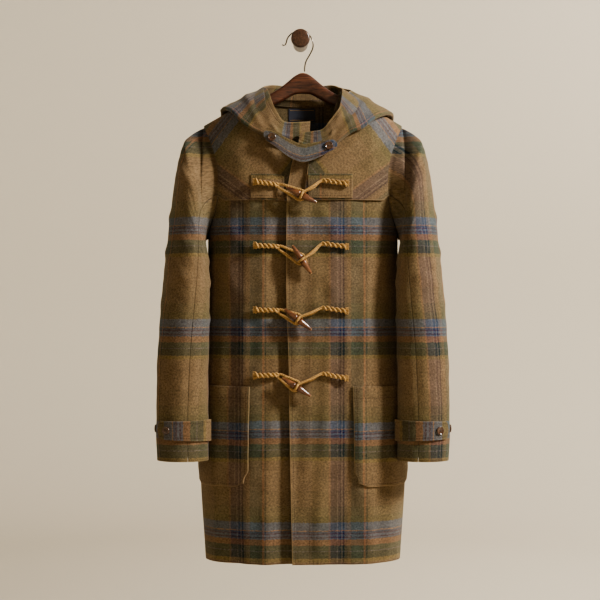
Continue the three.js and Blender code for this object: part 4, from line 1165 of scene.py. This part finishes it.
material, nodes, links = new_material("woven label")
shader = nodes["Principled BSDF"]
uv = node(nodes, "ShaderNodeUVMap", uv_map="plaid")
parts = node(nodes, "ShaderNodeSeparateXYZ")
links.new(uv.outputs["UV"], parts.inputs["Vector"])
tree = material.node_tree
from_middle = calculate(tree, "ABSOLUTE", calculate(tree, "SUBTRACT", parts.outputs["Y"], 0.01375))
across = calculate(tree, "ABSOLUTE", calculate(tree, "SUBTRACT", parts.outputs["X"], 0.028))
lines = calculate(tree, "COMPARE", from_middle, 0.0102, 0.00035)
ends = calculate(tree, "LESS_THAN", across, 0.0245)
threads = calculate(tree, "SINE", calculate(tree, "MULTIPLY", parts.outputs["X"], 2 * math.pi / 0.0008))
thread_shade = calculate(tree, "MULTIPLY_ADD", threads, 0.25, 0.75)
marked = calculate(tree, "MULTIPLY", calculate(tree, "MULTIPLY", lines, ends), thread_shade)
two_colours = blend_colours(tree, marked, linear(30, 34, 52), linear(186, 140, 62))
links.new(two_colours, shader.inputs["Base Color"])
weave = node(nodes, "ShaderNodeBump", {"Strength": 0.3, "Distance": 0.0003})
links.new(threads, weave.inputs["Height"])
links.new(weave.outputs["Normal"], shader.inputs["Normal"])
shader.inputs["Roughness"].default_value = 0.6
shader.inputs["Sheen Weight"].default_value = 0.15
piece = lay_cloth("label_cloth", 28, 14, label_shape)
thicken(piece, 0.8, 0.3)
finish_cloth(piece, material, ["label"], (0.062, 0.034))

# %% [markdown]
# ## Cords
# Each fastening has two cords of twisted jute. Three strands wind round each other, and
# that lay shows as slanting ridges. A cord is doubled where it is sewn down, and both
# halves wind round each other. Then it runs on as two strands and loops round the toggle.
# Each strand is drawn as a curve with a round bevel, and turned into a mesh.

# %% The paths of the cords
TOGGLES = [
    (-3, 333, -26.5, 305, 311, 303, 308),
    (-2.5, 461, -56, 432, 434, 429, 434),
    (-10, 580, -37.5, 561, 562, 557, 563),
    (-13, 714, -32.5, 692, 691, 688, 697),
]
STRAND = 2.9
PAIR_APART = 2.5
LOOP_END_X, SPLIT_X, ELBOW_X, CORD_END_X = -94.0, -50.0, 37.0, 86.0
TWISTS = 2.5
RING = 2.2
EYE_WIDTHS = [(0.06, 3.4), (0.35, 5.8), (0.7, 8.4), (1, 9.6)]
EYE_PAST = 10.0
EYE_FROM, EYE_TO = 35.0, 345.0
TOGGLE_LENGTH, TOGGLE_RADIUS, TOGGLE_TIP, TOGGLE_GROOVE = 68.0, 6.6, 2.6, 4.2


def over_front(row, x, drop, height):
    """A place over the front: its height above whatever cloth lies there."""
    hand = -1 if x < 0 else 1
    layers = LAY + CLOTH + 2.4 if row == 0 else 0.0
    sunk = float(sink(-x) * smooth((-x - 35) / 23))
    point, normal = on_front(hand, np.array([abs(x)]), np.array([drop]))
    return point[0] + normal[0] * (layers - sunk + height)


def smooth_path(points, count):
    """Places at even distances along a smooth curve through the points."""
    points = np.array(points)
    ends = np.vstack([2 * points[0] - points[1], points, 2 * points[-1] - points[-2]])
    knots = np.concatenate([[0], np.cumsum(np.sqrt(np.linalg.norm(np.diff(ends, axis=0), axis=1)))])
    dense = []
    for i in range(1, len(ends) - 2):
        t = np.linspace(knots[i], knots[i + 1], 24)[:, None]
        t0, t1, t2, t3 = knots[i - 1:i + 3]
        a1 = (t1 - t) / (t1 - t0) * ends[i - 1] + (t - t0) / (t1 - t0) * ends[i]
        a2 = (t2 - t) / (t2 - t1) * ends[i] + (t - t1) / (t2 - t1) * ends[i + 1]
        a3 = (t3 - t) / (t3 - t2) * ends[i + 1] + (t - t2) / (t3 - t2) * ends[i + 2]
        b1 = (t2 - t) / (t2 - t0) * a1 + (t - t0) / (t2 - t0) * a2
        b2 = (t3 - t) / (t3 - t1) * a2 + (t - t1) / (t3 - t1) * a3
        dense.append((t2 - t) / (t2 - t1) * b1 + (t - t1) / (t2 - t1) * b2)
    dense = np.vstack(dense)
    length = np.concatenate([[0], np.cumsum(np.linalg.norm(np.diff(dense, axis=0), axis=1))])
    even = np.linspace(0, length[-1], count)
    return np.stack([np.interp(even, length, dense[:, k]) for k in range(3)], -1), length[-1]


def frames(path):
    """At each place of a path: sideways and upwards directions without twist."""
    forward = unit(np.gradient(path, axis=0))
    side = np.empty_like(path)
    here = unit(np.cross(np.array([0.0, -1.0, 0.0]), forward[0]))
    for i, ahead in enumerate(forward):
        here = unit(here - ahead * here.dot(ahead))
        side[i] = here
    return side, np.cross(forward, side)


def groove_of(row):
    groove_x, groove_drop, lean = TOGGLES[row][:3]
    height = 2 * STRAND + TOGGLE_RADIUS + SEAM / 2 + 0.3
    centre = over_front(row, groove_x, groove_drop, height)
    axis = np.array([math.cos(math.radians(lean)), 0, math.sin(math.radians(lean))])
    return centre, axis


CORD_LIFT = STRAND + SEAM / 2

def sewn_end(row, xs, drops):
    """Three places along the doubled end of a cord, which lies flat on the cloth."""
    shares = (0, 0.5, 0.97)
    return [over_front(row, mix(*xs, s), mix(*drops, s), CORD_LIFT + 2.25) for s in shares]

def loop_paths(row):
    """The two halves of a loop cord, from its sewn end to the far side of the eye."""
    groove_x, groove_drop, _, loop_end, split = TOGGLES[row][:5]
    sewn = sewn_end(row, (LOOP_END_X, SPLIT_X), (loop_end, split))
    along = np.array([groove_x - SPLIT_X, groove_drop - split])
    length = np.linalg.norm(along)
    along = along / length
    halves = []
    for sign in (1, -1):
        eye = []
        for s, wide in EYE_WIDTHS + [(1 + EYE_PAST / length, 0)]:
            x = SPLIT_X + along[0] * length * s + along[1] * wide * sign
            drop = split + along[1] * length * s - along[0] * wide * sign
            eye.append(over_front(row, x, drop, CORD_LIFT))
        halves.append(sewn + eye)
    return halves, SPLIT_X - LOOP_END_X


def toggle_cord_paths(row):
    """The two halves of the cord that holds a toggle, wound round its groove."""
    elbow, cord_end = TOGGLES[row][5:7]
    centre, axis = groove_of(row)
    sewn = sewn_end(row, (CORD_END_X, ELBOW_X), (cord_end, elbow))
    radius = TOGGLE_GROOVE + SEAM / 2 + RING
    out = np.array([0.0, -1.0, 0.0])
    up = np.cross(axis, out)
    up = -up if up[2] < 0 else up
    halves = []
    for sign in (1, -1):
        winding = []
        for s in np.linspace(0, 1, 9):
            turn = math.radians(mix(EYE_FROM, 190.0, s) if sign > 0 else mix(EYE_TO, 200.0, s))
            winding.append(centre + up * radius * math.cos(turn) + out * radius * math.sin(turn))
        between = mix(sewn[-1], winding[0], 0.5) + np.array([0, -2.5 * sign, -3.0 * (1 - sign) / 2])
        halves.append(sewn + [between] + winding)
    return halves, CORD_END_X - ELBOW_X


# %% Twisting the strands
LAY_LENGTH = 15.0


def strand_curves(name, halves, doubled, half_radius, reach=1.0):
    """A cord's two halves as three strands each, all in one curve object's mesh."""
    curve = bpy.data.curves.new(name, "CURVE")
    curve.dimensions = "3D"
    curve.bevel_depth = 1.0 * MM
    curve.bevel_resolution = 2
    curve.use_fill_caps = True
    curve.resolution_u = 1
    for which, points in enumerate(halves):
        path, length = smooth_path(points, 150)
        side, up = frames(path)
        s = np.linspace(0, length, len(path))
        single = smooth((s - doubled * 0.93) / 9)
        pair_turn = 2 * math.pi * TWISTS * np.minimum(s / doubled, 1) + which * math.pi
        apart = (PAIR_APART + 0.3) * (1 - single)
        flare = 1 + 0.5 * (1 - smooth(s / 12))
        sideways = side * (np.cos(pair_turn) * flare)[:, None]
        upwards = up * np.sin(pair_turn)[:, None]
        centre = path + (sideways + upwards) * apart[:, None]
        for k in range(3):
            turn = 2 * math.pi * s / LAY_LENGTH + k * 2 * math.pi / 3
            across = half_radius * 0.5 * flare
            strand = centre + (side * np.cos(turn)[:, None] + up * np.sin(turn)[:, None]) * across[:, None]
            spline = curve.splines.new("POLY")
            spline.points.add(len(strand) - 1)
            place = (strand + [MIDDLE, 0, 0]) * MM
            places = np.column_stack([place, np.ones(len(place))])
            spline.points.foreach_set("co", places.astype(np.float32).ravel())
            radii = half_radius * 0.53 * (flare * 0.15 + 0.85)
            spline.points.foreach_set("radius", radii.astype(np.float32))
    made = bpy.data.objects.new(name, curve)
    bpy.context.scene.collection.objects.link(made)
    mesh = bpy.data.meshes.new_from_object(made.evaluated_get(bpy.context.evaluated_depsgraph_get()))
    bpy.data.objects.remove(made)
    piece = bpy.data.objects.new(name, mesh)
    bpy.context.scene.collection.objects.link(piece)
    return piece


# %% The frayed ends
def tuft(name, place, direction, seed, radius, spread, length):
    """Loose fibres at a cut end, each a thin short curve."""
    random = np.random.default_rng(seed)
    curve = bpy.data.curves.new(name, "CURVE")
    curve.dimensions = "3D"
    curve.bevel_depth = 0.42 * MM
    curve.bevel_resolution = 1
    curve.use_fill_caps = True
    side = np.array([0.0, 0.0, 1.0])
    out = np.array([0.0, -1.0, 0.0])
    for k in range(90):
        around = random.uniform(0, 2 * math.pi)
        off = math.sqrt(random.uniform()) * radius
        start = place + side * off * math.cos(around) * spread + out * off * math.sin(around) * 0.7
        sideways = side * math.cos(around) * random.uniform(0.2, 1.1) * spread
        lean = sideways + out * math.sin(around) * random.uniform(0, 0.6)
        way = unit(direction + lean * 0.7)
        reach = length * random.uniform(0.55, 1.0)
        spline = curve.splines.new("POLY")
        spline.points.add(4)
        for j in range(5):
            t = j / 4
            bend = side * math.sin(t * 3 + k) * 0.7 + out * math.cos(t * 2.5 + k) * 0.4
            here = (start + way * reach * t + bend * t - direction * 3 * (1 - t) + [MIDDLE, 0, 0]) * MM
            spline.points[j].co = (*here, 1)
            spline.points[j].radius = 1.5 - t
    made = bpy.data.objects.new(name, curve)
    bpy.context.scene.collection.objects.link(made)
    mesh = bpy.data.meshes.new_from_object(made.evaluated_get(bpy.context.evaluated_depsgraph_get()))
    bpy.data.objects.remove(made)
    return mesh


def join(piece, mesh):
    bm = bmesh.new()
    bm.from_mesh(piece.data)
    bm.from_mesh(mesh)
    bm.to_mesh(piece.data)
    bm.free()


def fibre_material(name, colour, dark, scale):
    material, nodes, links = new_material(name)
    shader = nodes["Principled BSDF"]
    place = node(nodes, "ShaderNodeTexCoord")
    fibres = node(nodes, "ShaderNodeTexNoise", {"Scale": scale, "Detail": 3.0, "Roughness": 0.65})
    links.new(place.outputs["Object"], fibres.inputs["Vector"])
    ramp = node(nodes, "ShaderNodeValToRGB")
    ramp.color_ramp.elements[0].position, ramp.color_ramp.elements[0].color = 0.36, (*dark, 1)
    ramp.color_ramp.elements[1].position, ramp.color_ramp.elements[1].color = 0.58, (*colour, 1)
    links.new(fibres.outputs["Fac"], ramp.inputs[0])
    links.new(ramp.outputs["Color"], shader.inputs["Base Color"])
    bump = node(nodes, "ShaderNodeBump", {"Strength": 0.5, "Distance": 0.0004})
    links.new(fibres.outputs["Fac"], bump.inputs["Height"])
    links.new(bump.outputs["Normal"], shader.inputs["Normal"])
    shader.inputs["Roughness"].default_value = 0.75
    shader.inputs["Specular IOR Level"].default_value = 0.25
    shader.inputs["Sheen Weight"].default_value = 0.15
    return material


jute = fibre_material("golden jute", linear(200, 160, 100), linear(104, 76, 42), 1100.0)

for row in range(4):
    for kind, paths, strand, direction, size in (
        ("loop_cord", loop_paths, STRAND, np.array([-1.0, 0, 0.06]), (4.4, 1.25, 6.5)),
        ("toggle_cord", toggle_cord_paths, 2.6, np.array([1.0, 0, -0.05]), (4.0, 1.2, 6.0)),
    ):
        halves, doubled = paths(row)
        piece = strand_curves(f"{kind}_{row + 1}_jute", halves, doubled, strand)
        join(piece, tuft("tuft", np.array(halves[0][0]), direction, row * 2 + len(kind), *size))
        piece.data.shade_smooth()
        piece.data.materials.append(jute)
        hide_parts(f"{kind}_{row + 1}")
        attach(piece, "root")
        print(piece.name, len(piece.data.polygons), "faces")

# %% [markdown]
# ## Toggles and buttons
# A toggle is turned from horn: two long tapers with a groove between them, and cut ends
# that are paler. Each is the spin of an outline. The buttons are pressed from the same
# brown stuff, with a rim and a dish, and crossed threads hold them.

# %% Horn
def horn_material(name, pale, ends):
    material, nodes, links = new_material(name)
    tree = material.node_tree
    shader = nodes["Principled BSDF"]
    place = node(nodes, "ShaderNodeTexCoord")
    streaks = node(nodes, "ShaderNodeTexNoise", {"Scale": 90.0, "Detail": 4.0, "Distortion": 0.6})
    stretch = node(nodes, "ShaderNodeMapping")
    stretch.inputs["Scale"].default_value = (0.5, 1.6, 1.2)
    links.new(place.outputs["Object"], stretch.inputs["Vector"])
    links.new(stretch.outputs["Vector"], streaks.inputs["Vector"])
    ramp = node(nodes, "ShaderNodeValToRGB")
    ramp.color_ramp.elements[0].position, ramp.color_ramp.elements[0].color = 0.3, (*linear(64, 38, 26), 1)
    ramp.color_ramp.elements[1].position, ramp.color_ramp.elements[1].color = 0.7, (*pale, 1)
    links.new(streaks.outputs["Fac"], ramp.inputs[0])
    colour = ramp.outputs["Color"]
    if ends:
        tip = node(nodes, "ShaderNodeAttribute", attribute_name="tip")
        pale_share = calculate(tree, "MULTIPLY", tip.outputs["Fac"], 0.75)
        colour = blend_colours(tree, pale_share, colour, linear(196, 158, 112))
    links.new(colour, shader.inputs["Base Color"])
    shader.inputs["Roughness"].default_value = 0.22
    shader.inputs["Coat Weight"].default_value = 0.4
    shader.inputs["Coat Roughness"].default_value = 0.12
    return material


def standing(axis, place):
    """Stands a thing that was made upright, in millimetres, along an axis at a place."""
    stand = Vector((0, 0, 1)).rotation_difference(Vector(axis)).to_matrix().to_4x4()
    return Matrix.Scale(MM, 4) @ Matrix.Translation(Vector(place) + Vector((MIDDLE, 0, 0))) @ stand

def turned(name, outline, steps, axis, place):
    """The spin of an outline of (radius, height) pairs, stood along an axis."""
    bm = bmesh.new()
    line = [bm.verts.new((r, 0, h)) for r, h in outline]
    edges = [bm.edges.new(pair) for pair in zip(line, line[1:])]
    bmesh.ops.spin(bm, geom=line + edges, cent=(0, 0, 0), axis=(0, 0, 1), angle=2 * math.pi,
                   steps=steps, use_merge=True)
    bmesh.ops.remove_doubles(bm, verts=bm.verts, dist=1e-4)
    bmesh.ops.recalc_face_normals(bm, faces=bm.faces)
    heights = [vert.co.z for vert in bm.verts]
    bmesh.ops.transform(bm, matrix=standing(axis, place), verts=bm.verts)
    mesh = bpy.data.meshes.new(name)
    bm.to_mesh(mesh)
    bm.free()
    mesh.shade_smooth()
    made = bpy.data.objects.new(name, mesh)
    bpy.context.scene.collection.objects.link(made)
    return made, np.array(heights)


horn = horn_material("polished horn", linear(128, 84, 54), True)
button_horn = horn_material("button horn", linear(92, 68, 50), False)
half = TOGGLE_LENGTH / 2
SIDE = [(0.0, -half), (1.6, -half), (2.3, -half + 0.4), (2.75, -half + 1.4),
    (4.1, -half * 0.72), (5.3, -half * 0.5),
        (6.2, -half * 0.3), (6.6, -half * 0.19), (6.55, -half * 0.15), (5.9, -half * 0.115),
        (4.6, -RING - 0.9), (4.2, -RING - 0.2)]
toggle_outline = SIDE + [(4.05, 0.0)] + [(r, -h) for r, h in reversed(SIDE)]
for row in range(4):
    centre, axis = groove_of(row)
    piece, heights = turned(f"toggle_{row + 1}_horn", toggle_outline, 40, axis, centre)
    tips = piece.data.attributes.new("tip", "FLOAT", "POINT")
    tips.data.foreach_set("value", smooth((np.abs(heights) - half + 1.2) / 1.0).astype(np.float32))
    piece.data.materials.append(horn)
    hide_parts(f"toggle_{row + 1}")
    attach(piece, "root")

# %% Buttons
BUTTON_OUTLINE = [(0.0, 0.0), (7.4, 0.0), (8.0, 0.5), (8.2, 1.2), (8.2, 2.3), (7.9, 2.9),
    (7.3, 3.2), (6.6, 3.1), (5.9, 2.6), (5.2, 2.25), (0.0, 2.2)]
material, nodes, links = new_material("button thread")
nodes["Principled BSDF"].inputs["Base Color"].default_value = (*linear(60, 44, 32), 1)
nodes["Principled BSDF"].inputs["Roughness"].default_value = 0.8
thread = material


def button(name, point, normal):
    piece, heights = turned(f"{name}_horn", BUTTON_OUTLINE, 36, normal, point)
    piece.data.materials.append(button_horn)
    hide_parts(name)
    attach(piece, "root")
    bm = bmesh.new()
    middle = standing(normal, point)
    for turn in (math.pi / 4, -math.pi / 4):
        lying = Matrix.Rotation(turn, 4, "Z") @ Matrix.Rotation(math.pi / 2, 4, "Y")
        bar = middle @ Matrix.Translation((0, 0, 2.35)) @ lying
        bmesh.ops.create_cone(bm, cap_ends=True, segments=8, radius1=0.55, radius2=0.55, depth=4.6,
                              matrix=bar)
    mesh = bpy.data.meshes.new(name + "_thread")
    bm.to_mesh(mesh)
    bm.free()
    mesh.materials.append(thread)
    sewing = bpy.data.objects.new(name + "_thread", mesh)
    bpy.context.scene.collection.objects.link(sewing)
    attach(sewing, "root")


for name, x, drop in (("throat_button_right", -61.0, 217.0), ("throat_button_left", 51.0, 234.5)):
    point, normal = on_body(-1, girth_angle(np.array([x]), np.array([drop])), np.array([drop]))
    button(name, point[0] + normal[0] * (TAB_LIFT + CLOTH + SEAM / 2), normal[0])
for hand, word in ((1, "left"), (-1, "right")):
    for where, degrees, lift in (("front", 59.0, LAY + CLOTH + 0.3), ("back", -6.0, 0.3)):
        point, normal = on_sleeve(np.radians(np.array([degrees])), np.array([STRAP_AT]))
        point = (point[0] + normal[0] * lift) * [hand, 1, 1]
        button(f"cuff_button_{where}_{word}", point, normal[0] * [hand, 1, 1])
print("buttons are", 2 * max(r for r, h in BUTTON_OUTLINE), "mm wide")

# %% [markdown]
# ## Hanger, hook and peg
# The hanger is one bent piece of dark walnut, with a wire hook. The peg is turned and has
# a broad head. The hanger's and the hook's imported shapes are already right, so both keep
# them, with merged points and smoother faces. The peg is turned again from its outline.

# %% Wood and steel
def wood_material(name, light, dark, along):
    material, nodes, links = new_material(name)
    shader = nodes["Principled BSDF"]
    place = node(nodes, "ShaderNodeTexCoord")
    stretch = node(nodes, "ShaderNodeMapping")
    stretch.inputs["Scale"].default_value = along
    links.new(place.outputs["Object"], stretch.inputs["Vector"])
    figure = {"Scale": 22.0, "Detail": 6.0, "Roughness": 0.62, "Distortion": 0.5}
    grain = node(nodes, "ShaderNodeTexNoise", figure)
    links.new(stretch.outputs["Vector"], grain.inputs["Vector"])
    ramp = node(nodes, "ShaderNodeValToRGB")
    ramp.color_ramp.elements[0].position, ramp.color_ramp.elements[0].color = 0.36, (*dark, 1)
    ramp.color_ramp.elements[1].position, ramp.color_ramp.elements[1].color = 0.66, (*light, 1)
    links.new(grain.outputs["Fac"], ramp.inputs[0])
    links.new(ramp.outputs["Color"], shader.inputs["Base Color"])
    bump = node(nodes, "ShaderNodeBump", {"Strength": 0.12, "Distance": 0.0004})
    links.new(grain.outputs["Fac"], bump.inputs["Height"])
    links.new(bump.outputs["Normal"], shader.inputs["Normal"])
    shader.inputs["Roughness"].default_value = 0.38
    shader.inputs["Coat Weight"].default_value = 0.2
    shader.inputs["Coat Roughness"].default_value = 0.25
    return material


walnut = wood_material("dark walnut", linear(104, 62, 42), linear(44, 25, 18), (1.2, 14.0, 14.0))
oak = wood_material("peg wood", linear(92, 62, 44), linear(48, 30, 22), (12.0, 1.5, 12.0))
material, nodes, links = new_material("hook steel")
shader = nodes["Principled BSDF"]
shader.inputs["Base Color"].default_value = (*linear(112, 106, 98), 1)
shader.inputs["Metallic"].default_value = 1.0
shader.inputs["Roughness"].default_value = 0.28
steel = material


def smoother(name, node_name, material, weld=2e-5):
    """A copy of a packed hard node with merged points and smooth faces."""
    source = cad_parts[node_name]
    bm = bmesh.new()
    bm.from_mesh(source.data)
    bmesh.ops.transform(bm, matrix=source.matrix_world, verts=bm.verts)
    bmesh.ops.remove_doubles(bm, verts=bm.verts, dist=weld)
    bmesh.ops.recalc_face_normals(bm, faces=bm.faces)
    mesh = bpy.data.meshes.new(name)
    bm.to_mesh(mesh)
    bm.free()
    mesh.materials.clear()
    mesh.materials.append(material)
    mesh.shade_smooth()
    piece = bpy.data.objects.new(name, mesh)
    bpy.context.scene.collection.objects.link(piece)
    finer = piece.modifiers.new("finer", "SUBSURF")
    finer.levels = finer.render_levels = 1
    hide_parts(node_name)
    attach(piece, "root")
    return piece


smoother("hanger_walnut", "hanger", walnut)
smoother("hook_wire", "hanger_hook", steel)

PEG_OUTLINE = [(0.0, 0.0), (15.5, 0.0), (15.5, 65.0), (16.5, 66.6), (18.5, 67.2),
    (19.3, 68.6), (19.5, 70.5), (19.5, 77.0),
               (19.0, 79.6), (17.6, 81.3), (15.4, 82.0), (0.0, 82.0)]
piece, heights = turned("peg_turned", PEG_OUTLINE, 56, (0, -1, 0), (-MIDDLE, 0, 0))
piece.data.materials.append(oak)
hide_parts("wall_peg")
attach(piece, "root")
print("peg", len(piece.data.polygons), "faces")

# %% [markdown]
# ## The room and the light
# The coat is seen in soft daylight from the upper right, against a plain warm wall. A
# round wall that curves up out of the floor stands more than four metres away, so that
# no view shows an edge.

# %% Backdrop
WALL_RADIUS = 4.4
FLOOR_Z = -1.55


def plain(name, colour, roughness=0.9):
    material, nodes, links = new_material(name)
    shader = nodes["Principled BSDF"]
    shader.inputs["Base Color"].default_value = (*colour, 1)
    shader.inputs["Roughness"].default_value = roughness
    shader.inputs["Specular IOR Level"].default_value = 0.1
    return material


bm = bmesh.new()
profile = [(0.0, 0.0), (2.0, 0.0), (WALL_RADIUS - 1.2, 0.0)]
for k in range(1, 9):
    turn = k / 8 * math.pi / 2
    profile.append((WALL_RADIUS - 1.2 + 1.2 * math.sin(turn), 1.2 * (1 - math.cos(turn))))
profile.append((WALL_RADIUS, 6.0))
line = [bm.verts.new((r, -0.1, FLOOR_Z + z)) for r, z in profile]
edges = [bm.edges.new(pair) for pair in zip(line, line[1:])]
bmesh.ops.spin(bm, geom=line + edges, cent=(0, -0.1, 0), axis=(0, 0, 1), angle=2 * math.pi, steps=64,
               use_merge=True)
bmesh.ops.remove_doubles(bm, verts=bm.verts, dist=1e-5)
bmesh.ops.recalc_face_normals(bm, faces=bm.faces)
mesh = bpy.data.meshes.new("backdrop")
bm.to_mesh(mesh)
bm.free()
mesh.shade_smooth()
mesh.materials.append(plain("warm wall", linear(196, 187, 170)))
backdrop = bpy.data.objects.new("backdrop", mesh)
bpy.context.scene.collection.objects.link(backdrop)
print("the wall stands", WALL_RADIUS, "m away")


# %% Lights
def lamp(name, place, size, power, colour, target=(0, -0.1, -0.5)):
    data = bpy.data.lights.new(name, "AREA")
    data.shape = "DISK"
    data.size = size
    data.energy = power
    data.color = colour
    made = bpy.data.objects.new(name, data)
    made.location = place
    aim = Vector(target) - Vector(place)
    made.rotation_euler = aim.to_track_quat("-Z", "Y").to_euler()
    bpy.context.scene.collection.objects.link(made)
    return made


key = lamp("window light", (2.9, -1.5, 1.6), 0.7, 250, (1.0, 0.97, 0.92))
fill = lamp("room light", (-2.6, -2.0, 0.2), 2.4, 4, (0.96, 0.97, 1.0))
behind = lamp("wall light", (2.4, 0.8, 1.6), 1.2, 170, (1.0, 0.97, 0.93), (1.4, 4.3, 0.6))
world = bpy.data.worlds.new("room")
world.use_nodes = True
world.node_tree.nodes["Background"].inputs["Color"].default_value = (1.0, 0.97, 0.93, 1)
world.node_tree.nodes["Background"].inputs["Strength"].default_value = 0.12
bpy.context.scene.world = world
bpy.context.scene.view_settings.view_transform = "AgX"
bpy.context.scene.view_settings.look = "AgX - Medium High Contrast"
bpy.context.scene.view_settings.exposure = 0.0
print("lights:", [round(light.data.energy) for light in (key, fill, behind)], "W")
